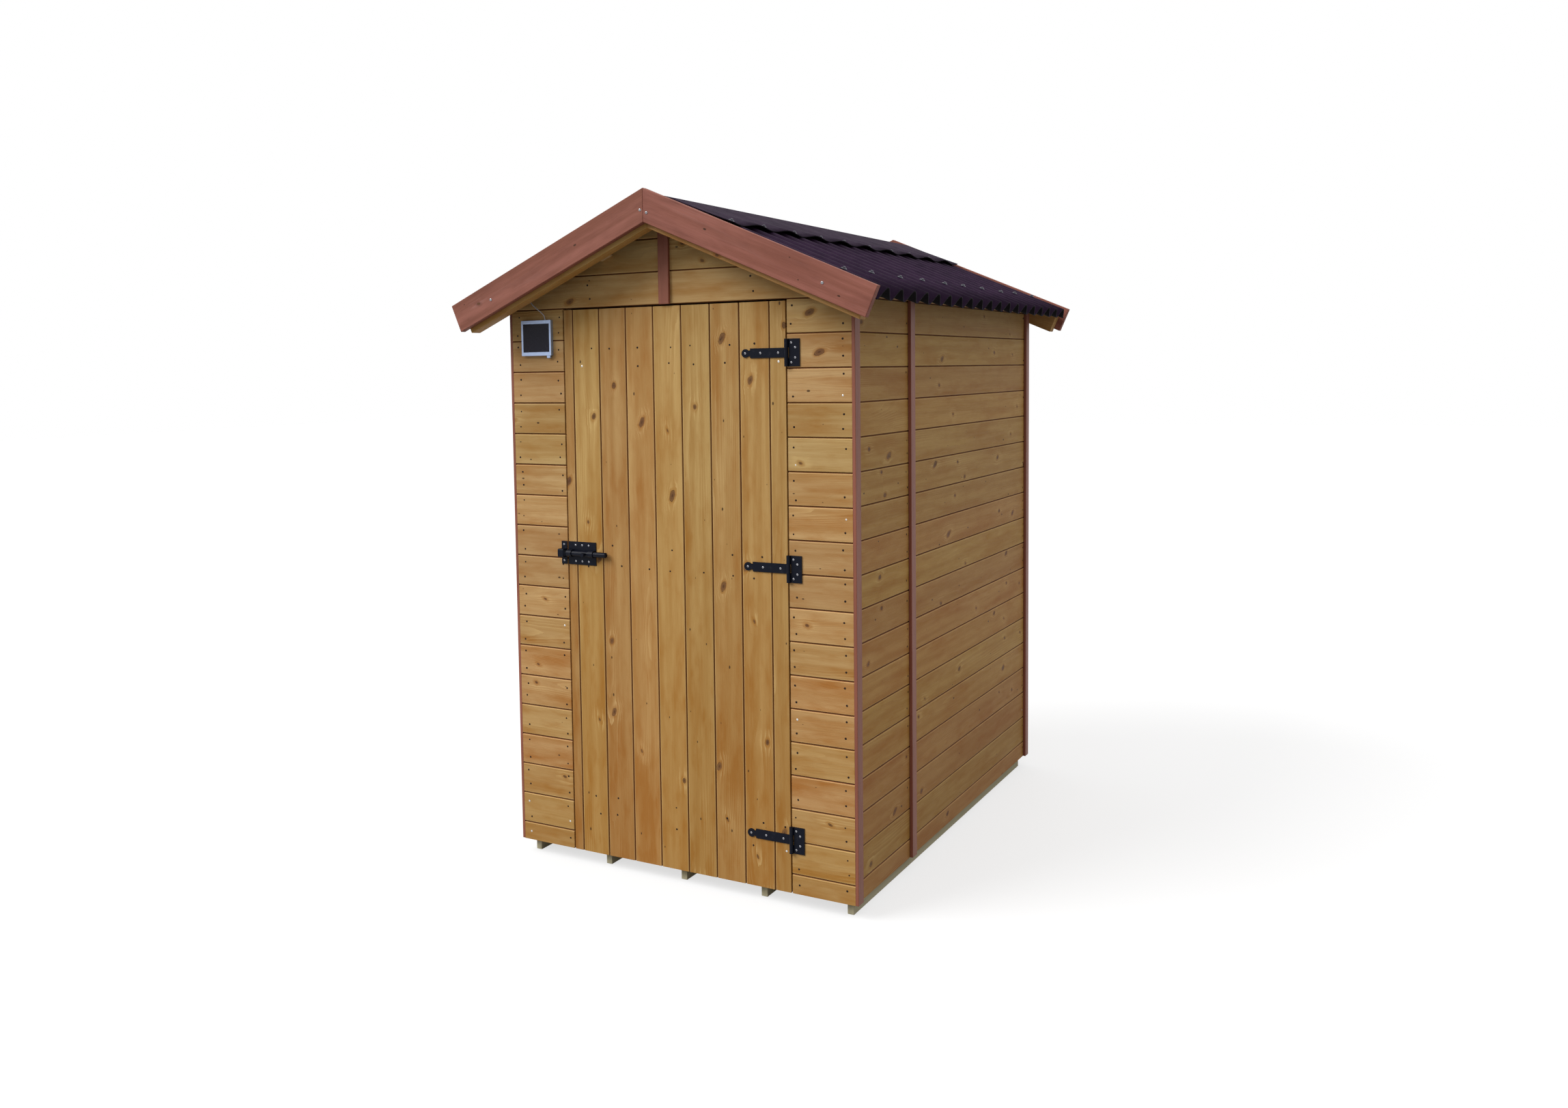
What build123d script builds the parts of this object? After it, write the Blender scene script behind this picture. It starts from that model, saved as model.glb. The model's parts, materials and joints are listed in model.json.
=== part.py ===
from build123d import *
import math
import os

# Wooden outhouse, in millimetres, with +Z up and the door facing -Y.
# The origin lies on the ground, on the ridge line, midway between the outer faces of the bargeboards.

os.makedirs("parts", exist_ok=True)

# Roof
ROOF_WIDTH = 1400.0
ROOF_DEPTH = 1870.0
ROOF_HEIGHT = 2030.0
ROOF_SLOPE = 23.3
FRONT_OVERHANG = 131.0
BACK_OVERHANG = 119.0
BARGEBOARD_DEPTH = 87.0
BARGEBOARD_THICKNESS = 20.0
RAFTER_THICKNESS = 40.0
RAFTER_SHOW = 13.0
RAFTER_END_SETBACK = 22.0

# Corrugated sheets and ridge cap
WAVE_PITCH = 95.0
WAVE_HEIGHT = 36.0
WAVE_FLANK = 50.0
BEND_STEPS = 2
SHEET_THICKNESS = 3.0
SHEET_RIDGE_START = 90.0
SHEET_END_SETBACK = 2.0
CREST_DROP = 2.0
CAP_WING = 295.0
CAP_BEND_RADIUS = 200.0
CAP_RIM_LIFT = 10.0
CAP_STEPS_PER_WAVE = 4
CAP_CLEARANCE = 0.3

# Walls and floor
WALL_WIDTH = 1140.0
CLADDING = 19.0
CLADDING_BOTTOM = 42.0
SIDE_JOINT = 427.0
BEARER_COUNT = 5
BEARER_WIDTH = 20.0
BEARER_HEIGHT = 58.0
BEARER_SETBACK = 33.0
DECK_THICKNESS = 19.0
LATH_WIDTH = 35.0
LATH_THICKNESS = 10.0
GABLE_STRIP_OFFSET = -12.0

# Framing behind the boards
POST_SIZE = 38.0
PLATE_DEPTH = 40.0
PURLIN_SIZE = 40.0
PURLIN_DISTANCE = 262.0

# Door
OPENING_WIDTH = 756.0
EAVE_TO_OPENING = 30.0
DOOR_GAP = 5.0
LEAF_THICKNESS = 19.0
LEDGE_WIDTH = 95.0
LEDGE_THICKNESS = 19.0
BRACE_FOOT = 85.0
STOP_WIDTH = 12.0
STOP_DEPTH = 20.0
STOP_GAP = 7.0

# T-hinges on the right edge of the door
BOTTOM_HINGE_HEIGHT = 197.0
MIDDLE_HINGE_HEIGHT = 967.0
TOP_HINGE_DROP = 142.0
IRON_THICKNESS = 2.5
KNUCKLE_RADIUS = 5.5
KNUCKLE_CLEARANCE = 0.5
PIN_RADIUS = 3.0
RUNNING_CLEARANCE = 0.08
PLATE_HEIGHT = 76.0
PLATE_WIDTH = 39.0
STRAP_LENGTH = 141.0
STRAP_HEIGHT = 27.0
STRAP_DISC_RADIUS = 12.0
STRAP_NECK_LENGTH = 6.0
STRAP_NECK_HEIGHT = 16.0

# Slide bolt on the left edge of the door, stored drawn back
BOLT_HEIGHT = 971.0
BOLT_RADIUS = 8.0
BOLT_LENGTH = 143.0
BOLT_STANDOFF = 1.0
BOLT_END_CHAMFER = 2.5
BOLT_PLATE_LENGTH = 101.0
BOLT_PLATE_HEIGHT = 70.0
GUIDE_WIDTH = 18.0
GUIDE_INSET = 2.0
KNOB_POSITION = 70.0
KNOB_STEM_RADIUS = 4.0
KNOB_STEM_LENGTH = 10.0
KNOB_CAP_RADIUS = 6.0
KNOB_CAP_THICKNESS = 6.0
KEEPER_WIDTH = 20.0
KEEPER_INSET = 1.0
KEEPER_CLEARANCE = 2.0
KEEPER_ROUND = 4.0

# Solar panel and its lead
PANEL_WIDTH = 112.0
PANEL_HEIGHT = 108.0
PANEL_DEPTH = 12.0
PANEL_OFFSET = 3.0
PANEL_DROP = 86.0
PANEL_SIDE_LIP = 7.0
PANEL_END_LIP = 11.0
CELL_THICKNESS = 3.0
CORD_DIAMETER = 3.2
CORD_HOLE_DIAMETER = 6.0
CORD_HOLE_OFFSET = -26.5
CORD_HOLE_RISE = 67.0

# Places worked out from the sizes above
slope = math.radians(ROOF_SLOPE)
slope_length = ROOF_WIDTH / 2 / math.cos(slope)
sheet_drop = CREST_DROP + WAVE_HEIGHT
front = -ROOF_DEPTH / 2 + FRONT_OVERHANG
back = ROOF_DEPTH / 2 - BACK_OVERHANG
side = WALL_WIDTH / 2
inner_front = front + CLADDING
inner_back = back - CLADDING
inner_side = side - CLADDING
deck_top = BEARER_HEIGHT + DECK_THICKNESS
front_rafter_face = -ROOF_DEPTH / 2 + BARGEBOARD_THICKNESS
back_rafter_face = ROOF_DEPTH / 2 - BARGEBOARD_THICKNESS
wave_count = int((back_rafter_face - front_rafter_face) // WAVE_PITCH)


def roof_underside(x):
    """Height of the plane under the sheets at a distance x from the ridge line."""
    return ROOF_HEIGHT - sheet_drop / math.cos(slope) - abs(x) * math.tan(slope)


opening_side = OPENING_WIDTH / 2
opening_top = roof_underside(side) - EAVE_TO_OPENING
leaf_side = opening_side - DOOR_GAP
leaf_top = opening_top - DOOR_GAP
hinge_heights = (BOTTOM_HINGE_HEIGHT, MIDDLE_HINGE_HEIGHT, leaf_top - TOP_HINGE_DROP)
panel_x = -(side + opening_side) / 2 + PANEL_OFFSET
panel_bottom = opening_top - PANEL_DROP - PANEL_HEIGHT / 2
panel_top = panel_bottom + PANEL_HEIGHT
cord_hole_x = panel_x + CORD_HOLE_OFFSET
cord_hole_z = panel_top + CORD_HOLE_RISE


def on_slope(distance, drop):
    """Point (x, z) on the right slope: distance down it from the apex, drop square to it."""
    x = distance * math.cos(slope) - drop * math.sin(slope)
    z = ROOF_HEIGHT - distance * math.sin(slope) - drop * math.cos(slope)
    return (x, z)


def block(x0, x1, y0, y1, z0, z1):
    """Rectangular block between two corners."""
    centre = Pos((x0 + x1) / 2, (y0 + y1) / 2, (z0 + z1) / 2)
    return centre * Box(x1 - x0, y1 - y0, z1 - z0)


def prism(points, y0, y1):
    """Outline of (x, z) points carried along Y from y0 to y1."""
    outline = Plane.XZ * make_face(Polyline(*points, close=True))
    return Pos(0, y0, 0) * extrude(outline, amount=y1 - y0, dir=(0, 1, 0))


def rod(radius, start, end):
    """Round bar between two points."""
    length = (Vector(*end) - Vector(*start)).length
    place = Plane(origin=start, z_dir=Vector(*end) - Vector(*start))
    return place * extrude(Circle(radius), amount=length)


def other_side(shape):
    """The same piece on the left of the ridge line."""
    return mirror(shape, about=Plane.YZ)


def pair(shape):
    """A right-hand piece and its left-hand twin, which don't touch."""
    return Compound(children=[shape, other_side(shape)])


def save(shape, name):
    """Write one sub-part."""
    export_step(shape, f"parts/{name}.step")


def mitred_board(end_distance, top_drop, bottom_drop, y0, y1):
    """Sloping board on the right, cut upright at the apex and square at the eave."""
    apex_top = (0, ROOF_HEIGHT - top_drop / math.cos(slope))
    apex_bottom = (0, ROOF_HEIGHT - bottom_drop / math.cos(slope))
    outline = [apex_top, on_slope(end_distance, top_drop), on_slope(end_distance, bottom_drop), apex_bottom]
    return prism(outline, y0, y1)


# Bearers and floor
bearer_span = 2 * inner_side - BEARER_WIDTH
for number in range(BEARER_COUNT):
    centre_x = -bearer_span / 2 + number * bearer_span / (BEARER_COUNT - 1)
    left_x = centre_x - BEARER_WIDTH / 2
    right_x = centre_x + BEARER_WIDTH / 2
    bearer = block(left_x, right_x, front + BEARER_SETBACK, back - BEARER_SETBACK, 0, BEARER_HEIGHT)
    save(bearer, f"bearer_{number + 1}")

floor_deck = block(-inner_side, inner_side, inner_front, inner_back, BEARER_HEIGHT, deck_top)
floor_deck -= block(
    -opening_side, opening_side, inner_front - DOOR_GAP, inner_front + DOOR_GAP, BEARER_HEIGHT, deck_top
)
save(floor_deck, "floor_deck")

# Purlins and wall plates, which carry the sheets
purlin = prism(
    [
        on_slope(PURLIN_DISTANCE - PURLIN_SIZE / 2, sheet_drop),
        on_slope(PURLIN_DISTANCE + PURLIN_SIZE / 2, sheet_drop),
        on_slope(PURLIN_DISTANCE + PURLIN_SIZE / 2, sheet_drop + PURLIN_SIZE),
        on_slope(PURLIN_DISTANCE - PURLIN_SIZE / 2, sheet_drop + PURLIN_SIZE),
    ],
    front_rafter_face + RAFTER_THICKNESS,
    back_rafter_face - RAFTER_THICKNESS,
)
purlins = pair(purlin)
save(purlins, "purlins")

plate_bottom = roof_underside(inner_side) - PLATE_DEPTH
plate_inner = inner_side - POST_SIZE
wall_plate = prism(
    [
        (inner_side, plate_bottom),
        (inner_side, roof_underside(inner_side)),
        (plate_inner, roof_underside(plate_inner)),
        (plate_inner, plate_bottom),
    ],
    inner_front,
    inner_back,
)
save(pair(wall_plate), "wall_plates")

# Board walls
front_wall_right = block(opening_side, side, front, inner_front, CLADDING_BOTTOM, opening_top)
save(front_wall_right, "front_wall_right")
save(other_side(front_wall_right), "front_wall_left")


def gable_panel(bottom, y0, y1):
    """Panel up to the underside of the sheets, notched for the purlins."""
    eave = roof_underside(side)
    outline = [(-side, bottom), (side, bottom), (side, eave), (0, roof_underside(0)), (-side, eave)]
    return prism(outline, y0, y1) - purlin - other_side(purlin)


cord_hole = rod(
    CORD_HOLE_DIAMETER / 2,
    (cord_hole_x, front - CLADDING, cord_hole_z),
    (cord_hole_x, inner_front + CLADDING, cord_hole_z),
)
save(gable_panel(opening_top, front, inner_front) - cord_hole, "front_gable")
save(gable_panel(CLADDING_BOTTOM, inner_back, back), "back_wall")

joint_y = front + SIDE_JOINT
wall_top = roof_underside(side)
right_wall_front = block(inner_side, side, inner_front, joint_y, CLADDING_BOTTOM, wall_top)
right_wall_rear = block(inner_side, side, joint_y, inner_back, CLADDING_BOTTOM, wall_top)
save(right_wall_front, "right_wall_front")
save(right_wall_rear, "right_wall_rear")
save(other_side(right_wall_front), "left_wall_front")
save(other_side(right_wall_rear), "left_wall_rear")

# Laths over the corners and joints
lath_side = side + LATH_THICKNESS
lath_top = roof_underside(lath_side)
front_trim = block(side, lath_side, front, front + LATH_WIDTH, CLADDING_BOTTOM, lath_top)
back_trim = block(side, lath_side, back - LATH_WIDTH, back, CLADDING_BOTTOM, lath_top)
corner_trims = [front_trim, back_trim, other_side(front_trim), other_side(back_trim)]
save(Compound(children=corner_trims), "corner_trims")

strip_start = joint_y - LATH_WIDTH / 2
side_strip = block(side, lath_side, strip_start, strip_start + LATH_WIDTH, CLADDING_BOTTOM, lath_top)
save(pair(side_strip), "side_strips")

strip_left = GABLE_STRIP_OFFSET - LATH_WIDTH / 2
strip_right = GABLE_STRIP_OFFSET + LATH_WIDTH / 2
strip_top = roof_underside(max(abs(strip_left), abs(strip_right)))
gable_strip = block(strip_left, strip_right, front - LATH_THICKNESS, front, opening_top, strip_top)
save(gable_strip, "gable_strip")

# Framing
front_post = block(plate_inner, inner_side, inner_front, inner_front + POST_SIZE, deck_top, plate_bottom)
back_post = block(plate_inner, inner_side, inner_back - POST_SIZE, inner_back, deck_top, plate_bottom)
corner_posts = [front_post, back_post, other_side(front_post), other_side(back_post)]
save(Compound(children=corner_posts), "corner_posts")

side_stud = block(
    plate_inner, inner_side, joint_y - POST_SIZE / 2, joint_y + POST_SIZE / 2, deck_top, plate_bottom
)
save(pair(side_stud), "side_studs")

door_post = block(
    opening_side, opening_side + POST_SIZE, inner_front, inner_front + POST_SIZE, deck_top, opening_top
)
save(pair(door_post), "door_posts")

head_side = opening_side + POST_SIZE
door_head = block(
    -head_side, head_side, inner_front, inner_front + POST_SIZE, opening_top, opening_top + POST_SIZE
)
save(door_head, "door_head")

stop_front = front + LEAF_THICKNESS + STOP_GAP
stop_side = opening_side - STOP_WIDTH
door_stop = block(stop_side, opening_side, stop_front, stop_front + STOP_DEPTH, deck_top, opening_top)
save(pair(door_stop), "door_stops")

# Rafters and bargeboards, mitred at the apex
rafter_bottom = BARGEBOARD_DEPTH + RAFTER_SHOW
rafter_end = slope_length - RAFTER_END_SETBACK
rafter_front = mitred_board(
    rafter_end, sheet_drop, rafter_bottom, front_rafter_face, front_rafter_face + RAFTER_THICKNESS
)
rafter_back = mitred_board(
    rafter_end, sheet_drop, rafter_bottom, back_rafter_face - RAFTER_THICKNESS, back_rafter_face
)
save(rafter_front, "rafter_front_right")
save(other_side(rafter_front), "rafter_front_left")
save(rafter_back, "rafter_back_right")
save(other_side(rafter_back), "rafter_back_left")

bargeboard_front = mitred_board(slope_length, 0, BARGEBOARD_DEPTH, -ROOF_DEPTH / 2, front_rafter_face)
bargeboard_back = mitred_board(slope_length, 0, BARGEBOARD_DEPTH, back_rafter_face, ROOF_DEPTH / 2)
save(bargeboard_front, "bargeboard_front_right")
save(other_side(bargeboard_front), "bargeboard_front_left")
save(bargeboard_back, "bargeboard_back_right")
save(other_side(bargeboard_back), "bargeboard_back_left")


# Corrugated sheets
def wave_points(offset, bend_radius, rise, length):
    """One face of the sheet, offset from its middle line: bends of a few flats, with straight flanks."""
    turns = []
    for step in range(-BEND_STEPS, BEND_STEPS + 1):
        turns.append(math.radians(WAVE_FLANK) * step / BEND_STEPS)
    points = []
    for bend in range(2 * wave_count + 1):
        is_crest = bend % 2 == 1
        radius = bend_radius + offset if is_crest else bend_radius - offset
        for turn in turns:
            along = bend * WAVE_PITCH / 2 + radius * math.sin(turn)
            height = bend_radius - radius * math.cos(turn)
            if is_crest:
                height = rise - height
            if 0 <= along <= length:
                points.append((along, height))
    return points


def corrugated_section():
    """End view of a sheet, from one valley to the last, with its lowest line at height 0."""
    flank = math.radians(WAVE_FLANK)
    rise = WAVE_HEIGHT - SHEET_THICKNESS
    turn = 2 * (math.sin(flank) * math.tan(flank) - (1 - math.cos(flank)))
    bend_radius = (WAVE_PITCH / 2 * math.tan(flank) - rise) / turn
    half = SHEET_THICKNESS / 2
    length = wave_count * WAVE_PITCH
    top = wave_points(half, bend_radius, rise, length)
    bottom = wave_points(-half, bend_radius, rise, length)
    section = make_face(Polyline(*top, *reversed(bottom), close=True))
    return Pos(-length / 2, half) * section


sheet_x, sheet_z = on_slope(SHEET_RIDGE_START, sheet_drop)
down_slope = (math.cos(slope), 0, -math.sin(slope))
sheet_plane = Plane(origin=(sheet_x, 0, sheet_z), x_dir=(0, 1, 0), z_dir=down_slope)
sheet_run = slope_length - SHEET_END_SETBACK - SHEET_RIDGE_START
roof_sheet = extrude(sheet_plane * corrugated_section(), amount=sheet_run, dir=down_slope)
save(roof_sheet, "roof_sheet_right")
save(other_side(roof_sheet), "roof_sheet_left")


# Ridge cap
half_run = wave_count * WAVE_PITCH / 2


def cap_section(y):
    """Section of the cap at y: a wide bend over the ridge and two wings.

    The wings' rims lie on every second crest and lift between them.
    """
    crests_along = (y + half_run) / WAVE_PITCH - 0.5
    lift = CAP_RIM_LIFT * (1 - math.cos(math.pi * crests_along)) / 2
    under_drop = CREST_DROP - CAP_CLEARANCE
    corners = {}
    for face, drop in (("top", under_drop - SHEET_THICKNESS), ("under", under_drop)):
        radius = CAP_BEND_RADIUS - SHEET_THICKNESS if face == "under" else CAP_BEND_RADIUS
        apex = ROOF_HEIGHT - drop / math.cos(slope) - radius * (1 / math.cos(slope) - 1)
        corners[face, "apex"] = (0, apex)
        bend_x = radius * math.sin(slope)
        corners[face, "bend"] = (bend_x, apex - radius * (1 - math.cos(slope)))
        corners[face, "rim"] = on_slope(CAP_WING, drop - lift)

    def left(point):
        return (-point[0], point[1])

    edges = [
        Line(corners["under", "rim"], corners["under", "bend"]),
        ThreePointArc(corners["under", "bend"], corners["under", "apex"], left(corners["under", "bend"])),
        Line(left(corners["under", "bend"]), left(corners["under", "rim"])),
        Line(left(corners["under", "rim"]), left(corners["top", "rim"])),
        Line(left(corners["top", "rim"]), left(corners["top", "bend"])),
        ThreePointArc(left(corners["top", "bend"]), corners["top", "apex"], corners["top", "bend"]),
        Line(corners["top", "bend"], corners["top", "rim"]),
        Line(corners["top", "rim"], corners["under", "rim"]),
    ]
    return Pos(0, y, 0) * (Plane.XZ * Face(Wire(edges)))


cap_step = WAVE_PITCH / CAP_STEPS_PER_WAVE
cap_sections = []
for step in range(CAP_STEPS_PER_WAVE * wave_count + 1):
    cap_sections.append(cap_section(-half_run + step * cap_step))
save(loft(cap_sections, ruled=True), "ridge_cap")

# Door leaf
door_boards = block(-leaf_side, leaf_side, front, front + LEAF_THICKNESS, CLADDING_BOTTOM, leaf_top)
save(door_boards, "door_boards")

ledge_front = front + LEAF_THICKNESS
ledge_back = ledge_front + LEDGE_THICKNESS
ledge_side = stop_side - STOP_GAP
ledges = []
for height in hinge_heights:
    bottom = height - LEDGE_WIDTH / 2
    ledges.append(block(-ledge_side, ledge_side, ledge_front, ledge_back, bottom, bottom + LEDGE_WIDTH))
save(Compound(children=ledges), "door_ledges")

braces = []
for lower, upper in zip(hinge_heights, hinge_heights[1:]):
    foot = lower + LEDGE_WIDTH / 2
    head = upper - LEDGE_WIDTH / 2
    outline = [
        (ledge_side, foot),
        (-ledge_side + BRACE_FOOT, head),
        (-ledge_side, head),
        (ledge_side - BRACE_FOOT, foot),
    ]
    braces.append(prism(outline, ledge_front, ledge_back))
save(Compound(children=braces), "door_braces")

# T-hinges: the knuckles stand in front of the boards, over the edge of the opening
hinge_x = opening_side
hinge_y = front - KNUCKLE_RADIUS - KNUCKLE_CLEARANCE
iron_front = front - IRON_THICKNESS
strap_knuckle = STRAP_HEIGHT / 2 + KNUCKLE_CLEARANCE


def hinge_plate(height):
    """Upright plate on the wall with two knuckles and the pin."""
    half = PLATE_HEIGHT / 2
    gap = strap_knuckle + KNUCKLE_CLEARANCE
    plate = block(hinge_x, hinge_x + PLATE_WIDTH, iron_front, front, height - half, height + half)
    notch_x = hinge_x + KNUCKLE_RADIUS + 2 * KNUCKLE_CLEARANCE
    notch_front = iron_front - IRON_THICKNESS
    plate -= block(hinge_x - KNUCKLE_RADIUS, notch_x, notch_front, front, height - gap, height + gap)
    plate += rod(KNUCKLE_RADIUS, (hinge_x, hinge_y, height + gap), (hinge_x, hinge_y, height + half))
    plate += rod(KNUCKLE_RADIUS, (hinge_x, hinge_y, height - half), (hinge_x, hinge_y, height - gap))
    plate += rod(PIN_RADIUS, (hinge_x, hinge_y, height - half), (hinge_x, hinge_y, height + half))
    return plate


def hinge_strap(height):
    """Long strap on the door with the middle knuckle and a round end."""
    half = STRAP_HEIGHT / 2
    disc_x = hinge_x - STRAP_LENGTH + STRAP_DISC_RADIUS
    bar_start = disc_x + STRAP_DISC_RADIUS + STRAP_NECK_LENGTH / 2
    bar_end = hinge_x - 2 * KNUCKLE_CLEARANCE
    neck_end = bar_start + STRAP_NECK_LENGTH
    neck = STRAP_NECK_HEIGHT / 2
    strap = block(bar_start, bar_end, iron_front, front, height - half, height + half)
    strap += block(disc_x, neck_end, iron_front, front, height - neck, height + neck)
    strap += rod(STRAP_DISC_RADIUS, (disc_x, iron_front, height), (disc_x, front, height))
    bottom = (hinge_x, hinge_y, height - strap_knuckle)
    top = (hinge_x, hinge_y, height + strap_knuckle)
    strap += rod(KNUCKLE_RADIUS, bottom, top)
    strap -= rod(PIN_RADIUS + RUNNING_CLEARANCE, bottom, top)
    return strap


save(Compound(children=[hinge_plate(height) for height in hinge_heights]), "hinge_plates")
save(Compound(children=[hinge_strap(height) for height in hinge_heights]), "hinge_straps")

# Slide bolt: a plate with two guides on the door, the round bolt in them and a keeper on the wall
bolt_y = iron_front - BOLT_STANDOFF - BOLT_RADIUS
bolt_plate_start = -leaf_side
bolt_plate_end = bolt_plate_start + BOLT_PLATE_LENGTH


def arch(x0, x1, inner):
    """Iron strap bent over the bolt, with a round crown that the bolt runs in."""
    outer = inner + IRON_THICKNESS
    shape = rod(outer, (x0, bolt_y, BOLT_HEIGHT), (x1, bolt_y, BOLT_HEIGHT))
    shape += block(x0, x1, bolt_y, iron_front, BOLT_HEIGHT - outer, BOLT_HEIGHT + outer)
    shape -= rod(inner, (x0, bolt_y, BOLT_HEIGHT), (x1, bolt_y, BOLT_HEIGHT))
    shape -= block(x0, x1, bolt_y, iron_front, BOLT_HEIGHT - inner, BOLT_HEIGHT + inner)
    return shape


half_plate = BOLT_PLATE_HEIGHT / 2
plate_low = BOLT_HEIGHT - half_plate
plate_high = BOLT_HEIGHT + half_plate
guide_bore = BOLT_RADIUS + RUNNING_CLEARANCE
first_guide = bolt_plate_start + GUIDE_INSET
second_guide = bolt_plate_end - GUIDE_INSET - GUIDE_WIDTH
bolt_housing = block(bolt_plate_start, bolt_plate_end, iron_front, front, plate_low, plate_high)
bolt_housing += arch(first_guide, first_guide + GUIDE_WIDTH, guide_bore)
bolt_housing += arch(second_guide, second_guide + GUIDE_WIDTH, guide_bore)
save(bolt_housing, "bolt_housing")

bolt_start = first_guide
bolt_bar = rod(
    BOLT_RADIUS, (bolt_start, bolt_y, BOLT_HEIGHT), (bolt_start + BOLT_LENGTH, bolt_y, BOLT_HEIGHT)
)
bolt_bar = chamfer(bolt_bar.edges().filter_by(GeomType.CIRCLE), BOLT_END_CHAMFER)
knob_x = bolt_start + KNOB_POSITION
stem_end = bolt_y - BOLT_RADIUS - KNOB_STEM_LENGTH
bolt_bar += rod(KNOB_STEM_RADIUS, (knob_x, bolt_y, BOLT_HEIGHT), (knob_x, stem_end, BOLT_HEIGHT))
bolt_bar += rod(
    KNOB_CAP_RADIUS, (knob_x, stem_end, BOLT_HEIGHT), (knob_x, stem_end - KNOB_CAP_THICKNESS, BOLT_HEIGHT)
)
save(bolt_bar, "bolt")

keeper_end = -opening_side - KEEPER_INSET
keeper_start = keeper_end - KEEPER_WIDTH
keeper_inner = BOLT_RADIUS + KEEPER_CLEARANCE
keeper_outer = keeper_inner + IRON_THICKNESS
keeper_front = bolt_y - keeper_outer
staple = block(
    keeper_start, keeper_end, keeper_front, iron_front, BOLT_HEIGHT - keeper_outer, BOLT_HEIGHT + keeper_outer
)
staple = fillet(staple.edges().filter_by(Axis.X).group_by(Axis.Y)[0], KEEPER_ROUND)
staple -= block(
    keeper_start,
    keeper_end,
    bolt_y - keeper_inner,
    iron_front,
    BOLT_HEIGHT - keeper_inner,
    BOLT_HEIGHT + keeper_inner,
)
bolt_keeper = staple + block(keeper_start, keeper_end, iron_front, front, plate_low, plate_high)
save(bolt_keeper, "bolt_keeper")

# Solar panel: a shallow frame on the wall with the cell set in it
panel_left = panel_x - PANEL_WIDTH / 2
panel_right = panel_x + PANEL_WIDTH / 2
panel_front = front - PANEL_DEPTH
cell_place = (
    panel_left + PANEL_SIDE_LIP,
    panel_right - PANEL_SIDE_LIP,
    panel_front,
    panel_front + CELL_THICKNESS,
    panel_bottom + PANEL_END_LIP,
    panel_top - PANEL_END_LIP,
)
solar_cell = block(*cell_place)
solar_frame = block(panel_left, panel_right, panel_front, front, panel_bottom, panel_top) - solar_cell
save(solar_frame, "solar_frame")
save(solar_cell, "solar_cell")

# The panel's lead: out of the top of the frame, up the wall and into a hole under the roof
cord_route = [
    (panel_x + 31.0, front - 6.0, panel_top),
    (panel_x + 31.0, front - 6.0, panel_top + 10.0),
    (panel_x + 22.0, front - 7.5, panel_top + 21.0),
    (panel_x - 8.0, front - 9.0, panel_top + 43.0),
    (panel_x - 19.0, front - 9.5, panel_top + 55.0),
    (panel_x - 25.0, front - 8.0, panel_top + 63.5),
    (cord_hole_x, front - 1.5, cord_hole_z),
    (cord_hole_x, front + 6.0, cord_hole_z),
]


def corner_radii(route):
    """Radius of the arc at each corner of the route, as large as its two runs allow."""
    points = [Vector(*point) for point in route]
    radii = []
    for before, corner, after in zip(points, points[1:], points[2:]):
        run_in = corner - before
        run_out = after - corner
        half_turn = math.radians(run_in.get_angle(run_out)) / 2
        radii.append(0.45 * min(run_in.length, run_out.length) / math.tan(half_turn))
    return radii


cord_radii = corner_radii(cord_route)
cord_path = FilletPolyline(*cord_route, radius=cord_radii)
cord_end = Plane(origin=cord_path @ 0, z_dir=cord_path % 0)
solar_cord = sweep(cord_end * Circle(CORD_DIAMETER / 2), path=cord_path)
save(solar_cord, "solar_cord")

section_area = math.pi * CORD_DIAMETER**2 / 4
print("cord radii", [round(radius, 1) for radius in cord_radii])
print("cord length", round(cord_path.length, 1))
volume_ratio = solar_cord.volume / (section_area * cord_path.length)
print("cord volume over section times length", round(volume_ratio, 4))
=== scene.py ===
import json
import math
import random

import bmesh
import bpy
from mathutils import Matrix, Vector

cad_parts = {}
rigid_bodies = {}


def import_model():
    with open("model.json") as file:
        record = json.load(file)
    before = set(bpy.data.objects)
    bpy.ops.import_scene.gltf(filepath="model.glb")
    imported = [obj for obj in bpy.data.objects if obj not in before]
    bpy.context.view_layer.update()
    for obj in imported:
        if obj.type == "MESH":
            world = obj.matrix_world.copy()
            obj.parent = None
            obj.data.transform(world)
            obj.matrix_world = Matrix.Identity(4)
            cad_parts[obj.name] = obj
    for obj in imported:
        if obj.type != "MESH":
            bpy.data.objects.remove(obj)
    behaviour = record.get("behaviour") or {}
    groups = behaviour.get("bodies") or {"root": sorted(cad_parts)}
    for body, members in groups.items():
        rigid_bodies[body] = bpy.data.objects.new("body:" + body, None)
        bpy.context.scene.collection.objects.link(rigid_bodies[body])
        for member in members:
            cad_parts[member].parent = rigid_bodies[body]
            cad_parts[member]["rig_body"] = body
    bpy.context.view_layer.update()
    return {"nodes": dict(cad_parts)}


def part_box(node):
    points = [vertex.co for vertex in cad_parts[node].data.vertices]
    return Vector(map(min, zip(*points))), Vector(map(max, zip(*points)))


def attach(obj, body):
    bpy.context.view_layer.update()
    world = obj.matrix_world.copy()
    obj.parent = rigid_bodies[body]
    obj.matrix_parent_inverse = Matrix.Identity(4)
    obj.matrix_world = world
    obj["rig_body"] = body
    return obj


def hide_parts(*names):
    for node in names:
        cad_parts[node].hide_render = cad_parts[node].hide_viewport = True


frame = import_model()
nodes = frame["nodes"]
scene = bpy.context.scene
scene.view_settings.view_transform = "Standard"

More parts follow.
